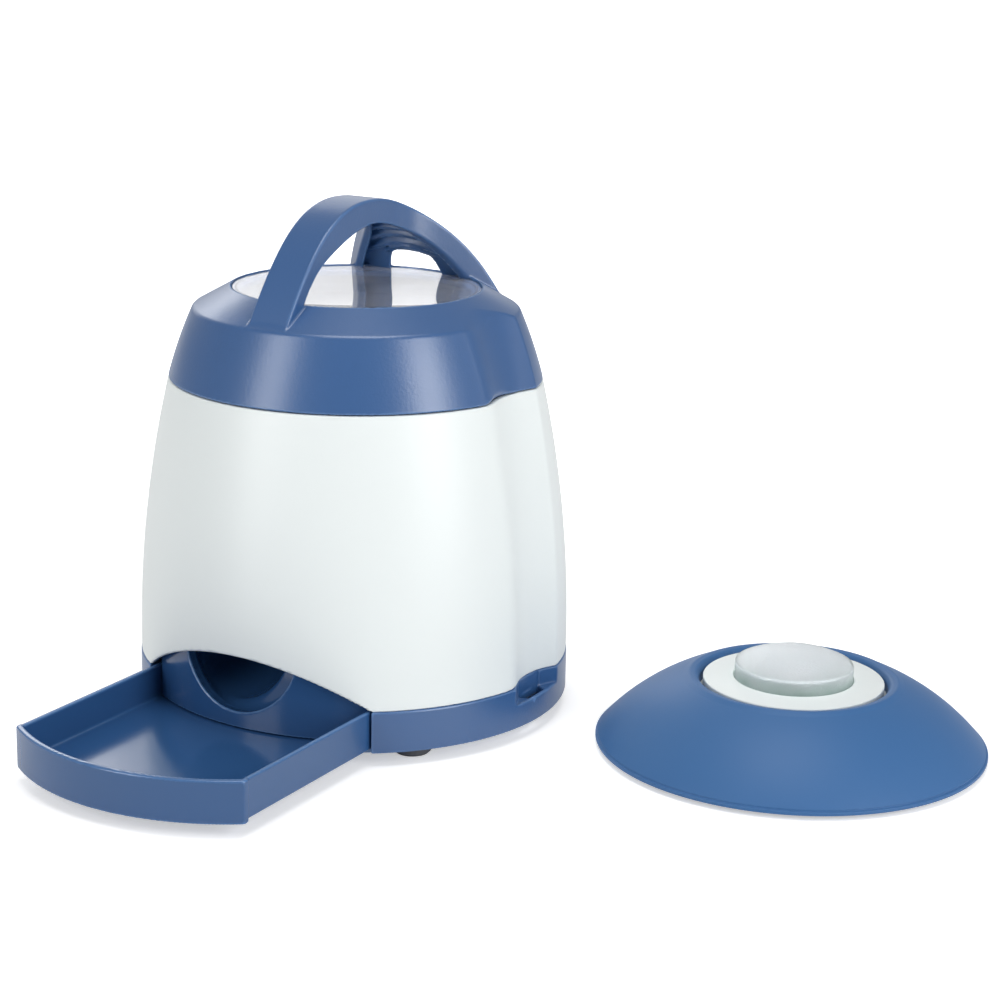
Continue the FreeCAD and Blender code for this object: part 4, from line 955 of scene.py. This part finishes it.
@dataclass
class Lid:
    """Blue lid with its forked handle, and the clear window.

    Attributes:
        shop: Where its pieces are made.
        form: The dispenser's outer form.
        wall: Thickness of the handle's top and sides.
        fork_wall: Thickness of its walls along the fork.
        fork_radius: Radius of the fork's inner end.
        fork_centre: Centre of that radius, from the axis towards the back.
        fork_angle: Angle between a leg and straight back.
        fork_drop: Height over the ridge where the walls along the fork end.
        fork_slope: How steeply that end falls towards the back.
        low_slopes: Slopes of the underside past its front and rear points.
        rib_centre: Centre of the arched ribs.
        rib_radii: Outer radius of each rib.
        rib_half: Half thickness of a rib.
        rib_depth: How far a rib hangs below the handle's top.
        rib_back: How far back the ribs reach.
        hole_radius: Radius of the opening under the window.
        seat_radius: Outer radius of the window's seat.
        seat_heights: Underside and top of that seat.
        skirt_radii: Inner and outer radius of the skirt inside the shell.
        skirt_heights: Lower and upper end of that skirt.
        band_inset: How far the handle stays inside the band's side.
        cell: Size of a cell of the lid's mesh.
    """

    shop: Workshop
    form: Form = FORM
    wall: float = 2.5
    fork_wall: float = 2.1
    fork_radius: float = 10.9
    fork_centre: float = 41.2
    fork_angle: float = math.radians(31.4)
    rib_centre: float = 62.0
    rib_radii: tuple[float, ...] = (40.2, 37.1, 34.0)
    rib_half: float = 0.6
    rib_depth: float = 6.1
    rib_back: float = 41.0
    fork_drop: float = 13.8
    fork_slope: float = 0.615
    low_slopes: tuple[float, float] = (0.69, 0.75)
    hole_radius: float = 36.8
    seat_radius: float = 42.5
    seat_heights: tuple[float, float] = (132.9, 134.7)
    skirt_radii: tuple[float, float] = (51.2, 53.0)
    skirt_heights: tuple[float, float] = (99.0, 124.0)
    band_inset: float = 0.7
    cell: float = 0.55

    def curve(self, points: Sequence[tuple[float, float]], y: Array) -> tuple[Array, Array]:
        """A smooth curve through points and its slope.

        Args:
            points: Points of the curve in the side view.
            y: Positions to read it at, held at the ends of the curve.

        Returns:
            Heights and slopes.
        """
        at = np.array([p[0] for p in points])
        value = np.array([p[1] for p in points])
        y = np.clip(y, at[0], at[-1])
        count = len(at)
        gaps = np.diff(at)
        matrix, right = np.zeros((count, count)), np.zeros(count)
        matrix[0, 0] = matrix[-1, -1] = 1.0
        matrix[0, 1] = matrix[-1, -2] = -1.0
        for i in range(1, count - 1):
            matrix[i, i - 1 : i + 2] = gaps[i - 1], 2 * (gaps[i - 1] + gaps[i]), gaps[i]
            right[i] = 6 * ((value[i + 1] - value[i]) / gaps[i] - (value[i] - value[i - 1]) / gaps[i - 1])
        bend = np.linalg.solve(matrix, right)
        seat = np.clip(np.searchsorted(at, y) - 1, 0, count - 2)
        width = gaps[seat]
        left, ahead = y - at[seat], at[seat + 1] - y
        low, high = bend[seat], bend[seat + 1]
        height = (
            low * ahead**3 / (6 * width)
            + high * left**3 / (6 * width)
            + (value[seat] / width - low * width / 6) * ahead
            + (value[seat + 1] / width - high * width / 6) * left
        )
        slope = (
            -low * ahead**2 / (2 * width)
            + high * left**2 / (2 * width)
            + (value[seat + 1] - value[seat]) / width
            - (high - low) * width / 6
        )
        return height, slope

    def cap_field(self, x: Array, y: Array, z: Array) -> Array:
        """The lid's outer form without its handle, as a full body.

        Args:
            x: Positions across, in millimetres.
            y: Positions towards the back.
            z: Heights.

        Returns:
            Signed distances, negative inside.
        """
        form = self.form
        r = np.hypot(x, y)
        band = form.band.distance(r, z)
        run, rise = form.ridge_radius - form.window_radius, form.rim - form.ridge
        length = math.hypot(run, rise)
        chamfer = ((r - form.ridge_radius) * rise + (z - form.ridge) * run) / length
        return smooth_max(smooth_max(band, chamfer, 0.5), z - form.rim, 0.4)

    def fork_field(self, x: Array, y: Array) -> Array:
        """Distance to the opening between the handle's legs.

        Args:
            x: Positions across, in millimetres.
            y: Positions towards the back.

        Returns:
            Signed distances, negative inside the opening.
        """
        sine, cosine = math.sin(self.fork_angle), math.cos(self.fork_angle)
        across, back = np.abs(x), y - self.fork_centre
        straight = across * cosine - back * sine
        return np.where(across * sine + back * cosine > 0, straight, np.hypot(x, back)) - self.fork_radius

    def handle_field(self, x: Array, y: Array, z: Array, outer: Array) -> Array:
        """The handle: a bent slab cut to its forked plan, hollow under it, with three arched ribs.

        Args:
            x: Positions across, in millimetres.
            y: Positions towards the back.
            z: Heights.
            outer: The lid's outer form at the same places.

        Returns:
            Signed distances, negative inside.
        """
        form = self.form
        front, rear = HANDLE_TOP[0][0], HANDLE_TOP[-1][0]
        low_front, low_rear = HANDLE_LOW[0][0], HANDLE_LOW[-1][0]
        before, after = self.low_slopes
        top_z, top_slope = self.curve(HANDLE_TOP, y)
        low_z, low_slope = self.curve(HANDLE_LOW, y)
        low_z = low_z + before * np.minimum(y - low_front, 0.0) - after * np.maximum(y - low_rear, 0.0)
        above = (z - form.ridge - top_z) / np.sqrt(1 + top_slope**2)
        below = (form.ridge + low_z - z) / np.sqrt(1 + low_slope**2)
        half_width, flare = self.curve(HANDLE_SIDE, y)
        side = (np.abs(x) - half_width) / np.sqrt(1 + flare**2)
        fork = self.fork_field(x, y)
        solid = smooth_max(smooth_max(above, side, 0.9), below, 0.6)
        solid = smooth_max(solid, -fork, 0.8)
        solid = np.maximum(solid, slab(y, front, rear))
        inner = np.maximum(above, side) + self.wall
        channel = smooth_max(inner, self.fork_wall - fork, 0.6)
        solid = smooth_max(solid, -channel, 0.6)
        ring = np.hypot(x, y - self.rib_centre)
        half = self.rib_half
        ribs = np.min([np.abs(ring - radius + half) - half for radius in self.rib_radii], axis=0)
        drop = (form.ridge + top_z - self.rib_depth - z) / np.sqrt(1 + top_slope**2)
        ribs = smooth_max(ribs, np.maximum(drop, slab(y, 0.0, self.rib_back)), 0.3)
        ribs = np.maximum(ribs, np.maximum(inner - 0.5 * self.wall, 0.5 * self.fork_wall - fork))
        solid = smooth_min(solid, ribs, 0.3)
        lip = self.fork_centre - self.fork_radius
        steepness = math.hypot(1.0, self.fork_slope)
        under = (z - form.ridge - self.fork_drop + self.fork_slope * (y - lip)) / steepness
        under = np.maximum(np.maximum(under, lip - self.fork_wall - 0.5 - y), inner)
        solid = smooth_max(solid, -under, 0.5)
        solid = np.maximum(solid, form.band.distance(np.hypot(x, y), z) + self.band_inset)
        return np.maximum(solid, -(outer + 1.0))

    def field(self, x: Array, y: Array, z: Array) -> Array:
        """Distance field of the whole lid moulding.

        Args:
            x: Positions across, in millimetres.
            y: Positions towards the back.
            z: Heights.

        Returns:
            Signed distances, negative inside.
        """
        form = self.form
        r = np.hypot(x, y)
        outer = self.cap_field(x, y, z)
        hollow = outer + form.wall
        thick = form.groove(x, y, z, form.wall)
        hollow = smooth_max(hollow, -thick, 1.0)
        shell = smooth_max(outer, -hollow, 0.5)
        shell = smooth_max(shell, form.lid_bottom - z, 0.5)
        seat = np.maximum(slab(r, self.hole_radius, self.seat_radius), slab(z, *self.seat_heights))
        skirt = np.maximum(slab(r, *self.skirt_radii), slab(z, *self.skirt_heights))
        skirt = smooth_max(skirt, -thick, 0.5)
        shell = np.minimum(shell, np.minimum(seat, skirt))
        recess = np.maximum(r - form.window_radius, self.seat_heights[1] - z)
        hole = r - self.hole_radius
        shell = smooth_max(shell, -np.minimum(recess, hole), 0.35)
        handle = self.handle_field(x, y, z, outer)
        whole = smooth_min(shell, handle, 0.7)
        return smooth_max(whole, -form.groove(x, y, z), form.edge_round(x, y))

    def build(self) -> None:
        """Adds the lid and its window."""
        mesh = surface_net(self.field, (-62, -62, 97), (62, 62, 167), self.cell)
        self.shop.place("lid", mesh, DISPENSER, "body_blue", Body.LID, "lid_cap")
        pane = [
            Corner(0.0, 134.6, 0.0, 0.38),
            Corner(38.3, 135.85, 0.2),
            Corner(38.6, 134.72, 0.2),
            Corner(39.62, 134.72, 0.2),
            Corner(39.62, 136.3, 0.25),
            Corner(38.4, 136.3, 0.0, -0.38),
            Corner(0.0, 135.0),
        ]
        window = turned(pane, closed=False)
        self.shop.place("window", window, DISPENSER, "clear_window", Body.LID, "lid_window")


@dataclass
class Drawer:
    """Pull-out tray and the wall with the chute's mouth behind the arch.

    Attributes:
        shop: Where its pieces are made.
        pulled_out: How far the tray stands out at rest.
        panel_radii: Inner and outer radius of the tray's front panel.
        panel_half: Half width of that panel.
        panel_back: How far in front of the tray's centre the panel ends.
        panel_heights: Lower and upper edge of the panel.
        body_radius: Outer radius of the tray behind its panel.
        body_back: How far back the tray reaches from its centre.
        body_half: Half width of the tray.
        body_bottom: Height of the tray's underside.
        pocket_half: Half width of the tray's inside.
        pocket_floor: Height of its floor.
        stop_sides: Inner and outer side of the stops under its rear end.
        stop_ends: Front and back of the stops, from the tray's centre.
        stop_heights: Underside and top of the stops.
        wall_centre: Centre of the inner wall's curve, from the axis towards the back.
        wall_radii: Inner and outer radius of that wall.
        mouth_x: Middle of the mouth, across.
        mouth_z: Height of the mouth's middle.
        mouth_radius: Radius of the mouth.
        bore_x: Middle of the chute's bore, across.
        bore_radius: Radius of the bore at its lower end.
        narrowing: How much narrower the bore gets up to its top.
        bend_y: Centre of the bend, from the axis towards the back.
        bend_z: Height of the bend's centre and of the chute's top.
        bend_radius: Radius of the bend.
        step_start: Radius about the wall's centre where the bore starts to step aside.
        step_run: Length of that step.
        step_wider: How much wider the bore is at the mouth's end of the step.
        tube_wall: Wall of the chute.
        wall_half: Half width of the inner wall.
        wall_bottom: Height of the inner wall's lower edge.
        cheek_inner: Inner side of the cheeks beside the tray, from the middle.
        cheek_top: Height of the cheeks.
        cheek_ends: Front and back end of the cheeks.
        tube_reach: Radius about the wall's centre that the tube reaches.
        bore_reach: Radius that the cut for the bore reaches.
        bore_top: Height that this cut reaches.
    """

    shop: Workshop
    pulled_out: float = 65.0
    panel_radii: tuple[float, float] = (68.2, 70.0)
    panel_half: float = 41.3
    panel_back: float = 20.0
    panel_heights: tuple[float, float] = (4.3, 17.6)
    body_radius: float = 69.0
    body_back: float = 19.5
    body_half: float = 40.9
    body_bottom: float = 5.2
    pocket_half: float = 39.3
    pocket_floor: float = 6.8
    stop_sides: tuple[float, float] = (29.6, 35.6)
    stop_ends: tuple[float, float] = (17.0, 19.5)
    stop_heights: tuple[float, float] = (6.0, 9.8)
    wall_centre: float = 8.5
    wall_radii: tuple[float, float] = (71.1, 73.5)
    mouth_x: float = -2.6
    mouth_z: float = 33.4
    mouth_radius: float = 21.1
    bore_x: float = -8.0
    bore_radius: float = 19.5
    narrowing: float = 5.2
    bend_y: float = -56.5
    bend_z: float = 60.6
    bend_radius: float = 27.6
    step_start: float = 65.3
    step_run: float = 5.4
    step_wider: float = 1.4
    wall_half: float = 39.0
    wall_bottom: float = 7.2
    cheek_inner: float = 37.0
    cheek_top: float = 18.1
    cheek_ends: tuple[float, float] = (-53.4, 21.1)
    tube_reach: float = 72.3
    bore_reach: float = 72.2
    bore_top: float = 61.0
    tube_wall: float = 1.8

    def tray_field(self, x: Array, y: Array, z: Array) -> Array:
        """Distance field of the tray, pulled out.

        Args:
            x: Positions across, in millimetres.
            y: Positions towards the back.
            z: Heights.

        Returns:
            Signed distances, negative inside.
        """
        back = y + self.pulled_out
        r = np.hypot(x, back)
        aside, top = np.abs(x), self.panel_heights[1]
        ends = np.maximum(aside - self.panel_half, back + self.panel_back)
        panel = smooth_max(slab(r, *self.panel_radii), ends, 0.4)
        panel = smooth_max(panel, slab(z, *self.panel_heights), 0.7)
        body = np.maximum(np.maximum(r - self.body_radius, back - self.body_back), aside - self.body_half)
        pocket = np.maximum(r - self.panel_radii[0], aside - self.pocket_half)
        body = smooth_max(body, -smooth_max(pocket, self.pocket_floor - z, 1.0), 0.45)
        body = smooth_max(body, slab(z, self.body_bottom, top), 0.7)
        stops = np.maximum(slab(back, *self.stop_ends), slab(z, *self.stop_heights))
        stops = np.maximum(stops, slab(aside, *self.stop_sides))
        return np.minimum(smooth_min(panel, body, 0.4), stops)

    def bore(self, x: Array, y: Array, z: Array) -> Array:
        """Distance to the chute's bore, which steps aside behind the mouth, then bends upwards and narrows.

        Args:
            x: Positions across, in millimetres.
            y: Positions towards the back.
            z: Heights.

        Returns:
            Signed distances, negative inside.
        """
        quarter = 0.5 * math.pi
        turn = np.clip(np.arctan2(y - self.bend_y, self.bend_z - z), 0.0, quarter) / quarter
        depth = (np.hypot(x, y - self.wall_centre) - self.step_start) / self.step_run
        aside = np.where(y < 0.0, np.clip(depth, 0.0, 1.0), 0.0)
        aside = aside * aside * (3.0 - 2.0 * aside)
        across = x - self.bore_x - (self.mouth_x - self.bore_x) * aside
        bend = np.hypot(across, np.hypot(y - self.bend_y, z - self.bend_z) - self.bend_radius)
        straight = np.hypot(across, z - (self.bend_z - self.bend_radius))
        middle = np.where(y < self.bend_y, straight, bend)
        return middle - self.bore_radius + self.narrowing * turn - self.step_wider * aside

    def chute_field(self, x: Array, y: Array, z: Array) -> Array:
        """Distance field of the inner wall, its round mouth and the bent chute.

        Args:
            x: Positions across, in millimetres.
            y: Positions towards the back.
            z: Heights.

        Returns:
            Signed distances, negative inside.
        """
        r = np.hypot(x, y - self.wall_centre)
        low, high = self.wall_bottom, self.bend_z
        aside = np.abs(x)
        inside_shell = FORM.shell.distance(np.hypot(x, y), z) + FORM.wall + 0.6
        front = smooth_max(slab(r, *self.wall_radii), aside - self.wall_half, 0.4)
        front = np.maximum(front, np.maximum(y, inside_shell))
        cheeks = np.maximum(slab(z, low, self.cheek_top), slab(y, *self.cheek_ends))
        cheeks = np.maximum(cheeks, slab(aside, self.cheek_inner, self.wall_half))
        bore = self.bore(x, y, z)
        tube = np.maximum(slab(bore, 0.0, self.tube_wall), np.maximum(z - high, r - self.tube_reach))
        whole = np.minimum(np.minimum(front, cheeks), tube)
        inside = np.maximum(bore, z - self.bore_top)
        inside = np.maximum(inside, np.where(y < 0.0, r - self.bore_reach, -1.0))
        hole = np.hypot(x - self.mouth_x, z - self.mouth_z) - self.mouth_radius
        hole = np.maximum(hole, np.maximum(self.wall_radii[0] - 0.2 - r, y))
        whole = smooth_max(smooth_max(whole, -inside, 0.6), -hole, 1.0)
        return smooth_max(whole, slab(z, low, high), 0.3)

    def build(self) -> None:
        """Adds the tray and the chute wall."""
        tray = surface_net(self.tray_field, (-43, -137, 3), (43, -43, 19), 0.5)
        self.shop.place("drawer", tray, DISPENSER, "tray_blue", Body.TRAY, "tray")
        chute = surface_net(self.chute_field, (-41, -67, 6), (41, 23, 62), 0.5)
        self.shop.place("chute", chute, DISPENSER, "tray_blue", Body.DISPENSER, "chute_housing")


@dataclass
class Remote:
    """Round push-button remote."""

    shop: Workshop

    def build(self) -> None:
        """Adds the skirt, the white core and the frosted dome."""
        skirt = [
            Corner(58.9, 1.5, 0.2),
            Corner(61.49, 1.5, 0.3),
            Corner(61.49, 2.6, 0.3),
            Corner(60.75, 2.8, 0.1),
            Corner(60.7, 3.3, 0.0, 1.8),
            Corner(34.6, 22.2, 0.6),
            Corner(32.6, 23.3, 1.6),
            Corner(30.4, 23.0, 1.6),
            Corner(29.4, 21.2, 0.9),
            Corner(29.4, 18.0, 0.2),
            Corner(37.8, 18.0, 0.2, -1.4),
            Corner(58.9, 3.7, 0.2),
        ]
        self.shop.place("skirt", turned(skirt, 256), REMOTE, "soft_blue", Body.REMOTE, "remote_skirt")
        core = [
            Corner(18.8, 20.7, 0.2),
            Corner(18.8, 23.2, 0.35),
            Corner(28.3, 22.5, 0.4),
            Corner(28.3, 18.0, 0.1),
            Corner(34.0, 18.0, 0.2),
            Corner(34.0, 16.0, 0.2),
            Corner(28.3, 16.0, 0.1),
            Corner(28.3, 4.6, 0.1),
            Corner(26.3, 4.6, 0.1),
            Corner(26.3, 20.7, 0.1),
        ]
        self.shop.place("core", turned(core), REMOTE, "shell_white", Body.REMOTE, "remote_case")
        lens = [
            Corner(0.0, 30.8, 0.0, -1.0),
            Corner(17.0, 26.7, 0.6),
            Corner(17.0, 19.3, 0.1),
            Corner(20.4, 19.3, 0.2),
            Corner(20.4, 20.5, 0.2),
            Corner(18.5, 20.5, 0.1),
            Corner(18.5, 27.8, 0.8, 1.06),
            Corner(0.0, 32.3),
        ]
        dome = turned(lens, closed=False)
        self.shop.place("dome", dome, REMOTE, "frosted_lens", Body.BUTTON, "button_lens")


@dataclass(frozen=True)
class Softbox:
    """An area light that faces the object.

    Attributes:
        name: The light's name.
        azimuth: Degrees from the camera's side, positive to its right.
        height: Height above the floor, in metres.
        away: Distance from the object, in metres.
        size: Width and height, in metres.
        glow: Brightness of its face, where 1 shows as white.
    """

    name: str
    azimuth: float
    height: float
    away: float
    size: tuple[float, float]
    glow: float

    def build(self) -> None:
        """Adds the light to the scene."""
        camera_side, aim_height = 33.0, 0.07
        data = bpy.data.lights.new(self.name, "AREA")
        data.shape = "RECTANGLE"
        data.size, data.size_y = self.size
        data.energy = self.glow * math.pi * self.size[0] * self.size[1]
        light = bpy.data.objects.new(self.name, data)
        light.visible_camera = False
        angle = math.radians(self.azimuth + camera_side)
        place = Vector((self.away * math.sin(angle), -self.away * math.cos(angle), self.height))
        light.location = place
        aim = Vector((0.0, 0.0, aim_height)) - place
        light.rotation_mode = "QUATERNION"
        light.rotation_quaternion = aim.to_track_quat("-Z", "Y")
        bpy.context.scene.collection.objects.link(light)


SOFTBOXES = (
    Softbox("left_box", -58.5, 0.35, 1.0, (0.34, 1.0), 4.5),
    Softbox("right_box", 45.5, 0.35, 1.0, (0.40, 1.0), 6.0),
    Softbox("side_box", 90.0, 0.35, 1.0, (0.25, 1.0), 0.8),
    Softbox("back_box", -168.0, 0.95, 2.2, (2.4, 1.4), 0.85),
    Softbox("rim_box", -160.0, 1.0, 2.0, (0.8, 0.4), 3.0),
    Softbox("top_box", 0.0, 1.3, 0.1, (0.7, 0.7), 4.2),
)


@dataclass
class Studio:
    """Floor, lights and the photograph's camera.

    Attributes:
        ambient: Brightness of the surroundings as a lamp.
        mirrored: Share of their full brightness that glossy surfaces mirror.
        floor_glow: Brightness added to the floor beside the object.
        eye: Place of the camera from the dispenser's axis, in millimetres.
        yaw: Turn of the camera about the upright.
        pitch: How far it looks down.
        roll: How far it leans.
        focal: Focal length as a share of the sensor's width.
        sensor: Width of the sensor, in millimetres.
        floor_reach: Half width of the floor, in metres.
    """

    ambient: float = 0.22
    mirrored: float = 0.2
    floor_glow: float = 0.45
    eye: tuple[float, float, float] = (405.66, -633.30, 268.89)
    yaw: float = -0.0316 - math.radians(27.2477)
    pitch: float = 0.263
    roll: float = 0.0215
    focal: float = 2.3836178
    sensor: float = 36.0
    floor_reach: float = 6.0

    def camera(self) -> None:
        """Places the camera that was fitted to the photograph."""
        yaw, pitch, roll = self.yaw, self.pitch, self.roll
        ahead = Vector((math.sin(yaw) * math.cos(pitch), math.cos(yaw) * math.cos(pitch), -math.sin(pitch)))
        right = Vector((math.cos(yaw), -math.sin(yaw), 0.0))
        up = right.cross(ahead)
        level = right * math.cos(roll) + up * math.sin(roll)
        upright = -right * math.sin(roll) + up * math.cos(roll)
        data = bpy.data.cameras.new("camera")
        data.sensor_width = self.sensor
        data.lens = self.sensor * self.focal
        camera = bpy.data.objects.new("camera", data)
        place = Vector((self.eye[0] + DISPENSER[0], self.eye[1] + DISPENSER[1], self.eye[2])) * MILLIMETRE
        turned_frame = Matrix((level, upright, -ahead)).transposed().to_4x4()
        camera.matrix_world = Matrix.Translation(place) @ turned_frame
        data.clip_start, data.clip_end = 0.01, 50.0
        bpy.context.scene.collection.objects.link(camera)
        bpy.context.scene.camera = camera

    def seen(self, tree: bpy.types.NodeTree) -> bpy.types.NodeSocket:
        """A mask for what is looked at, straight, through a clear piece or mirrored.

        Args:
            tree: The node tree to add it to.

        Returns:
            The socket, 1 where a surface is seen and 0 where it only gives light.
        """
        path = tree.nodes.new("ShaderNodeLightPath")
        mirrored = tree.nodes.new("ShaderNodeMath")
        mirrored.operation = "MULTIPLY"
        mirrored.inputs[1].default_value = self.mirrored
        tree.links.new(path.outputs["Is Glossy Ray"], mirrored.inputs[0])
        total = path.outputs["Is Camera Ray"]
        for kind in (path.outputs["Is Transmission Ray"], mirrored.outputs["Value"]):
            either = tree.nodes.new("ShaderNodeMath")
            either.operation = "MAXIMUM"
            tree.links.new(total, either.inputs[0])
            tree.links.new(kind, either.inputs[1])
            total = either.outputs["Value"]
        return total

    def world(self) -> None:
        """White surroundings: full for what the camera sees, gentler as a lamp."""
        world = bpy.data.worlds.new("world")
        bpy.context.scene.world = world
        world.use_nodes = True
        tree = world.node_tree
        back = tree.nodes["Background"]
        back.inputs["Color"].default_value = (1.0, 1.0, 1.0, 1.0)
        strength = tree.nodes.new("ShaderNodeMapRange")
        strength.inputs["To Min"].default_value = self.ambient
        strength.inputs["To Max"].default_value = 1.0
        tree.links.new(self.seen(tree), strength.inputs["Value"])
        tree.links.new(strength.outputs["Result"], back.inputs["Strength"])

    def floor(self) -> None:
        """A pale floor that catches faint shadows near the object and melts into the backdrop."""
        mesh = bpy.data.meshes.new("floor")
        reach = self.floor_reach
        corners = [(-reach, -reach, 0), (reach, -reach, 0), (reach, reach, 0), (-reach, reach, 0)]
        mesh.from_pydata(corners, [], [(0, 1, 2, 3)])
        material = bpy.data.materials.new("floor")
        material.use_nodes = True
        tree = material.node_tree
        shader = tree.nodes["Principled BSDF"]
        shader.inputs["Base Color"].default_value = (0.92, 0.92, 0.92, 1.0)
        shader.inputs["Roughness"].default_value = 0.8
        shader.inputs["Emission Color"].default_value = (1.0, 1.0, 1.0, 1.0)
        place = tree.nodes.new("ShaderNodeTexCoord")
        away = tree.nodes.new("ShaderNodeVectorMath")
        away.operation = "LENGTH"
        fade = tree.nodes.new("ShaderNodeMapRange")
        fade.inputs["From Min"].default_value = 0.15
        fade.inputs["From Max"].default_value = 0.6
        fade.inputs["To Min"].default_value = self.floor_glow
        fade.inputs["To Max"].default_value = 1.0
        seen = tree.nodes.new("ShaderNodeMath")
        seen.operation = "MULTIPLY"
        tree.links.new(place.outputs["Object"], away.inputs[0])
        tree.links.new(away.outputs["Value"], fade.inputs["Value"])
        tree.links.new(fade.outputs["Result"], seen.inputs[0])
        tree.links.new(self.seen(tree), seen.inputs[1])
        tree.links.new(seen.outputs["Value"], shader.inputs["Emission Strength"])
        mesh.materials.append(material)
        floor = bpy.data.objects.new("floor", mesh)
        bpy.context.scene.collection.objects.link(floor)

    def build(self) -> None:
        """Sets up the studio."""
        self.world()
        self.floor()
        for box in SOFTBOXES:
            box.build()
        self.camera()
        scene = bpy.context.scene
        scene.view_settings.view_transform = "Standard"
        scene.view_settings.look = "None"


def main() -> None:
    """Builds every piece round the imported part."""
    logging.basicConfig(level=logging.INFO, format="%(message)s")
    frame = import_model()
    grain, painted_masks = grain_group(), painted_light_group()
    materials = {slot: finish.build(grain, painted_masks) for slot, finish in FINISHES.items()}
    slots = {part["node"]: part["material_slot"] for part in frame["record"]["subparts"]}
    for node, piece in frame["nodes"].items():
        piece.data.materials.clear()
        piece.data.materials.append(materials[slots[node]])
    shop = Workshop(materials)
    for builder in (Casing(shop), Lid(shop), Drawer(shop), Remote(shop), Studio()):
        log.info("building %s", type(builder).__name__)
        builder.build()


if __name__ == "__main__":
    main()
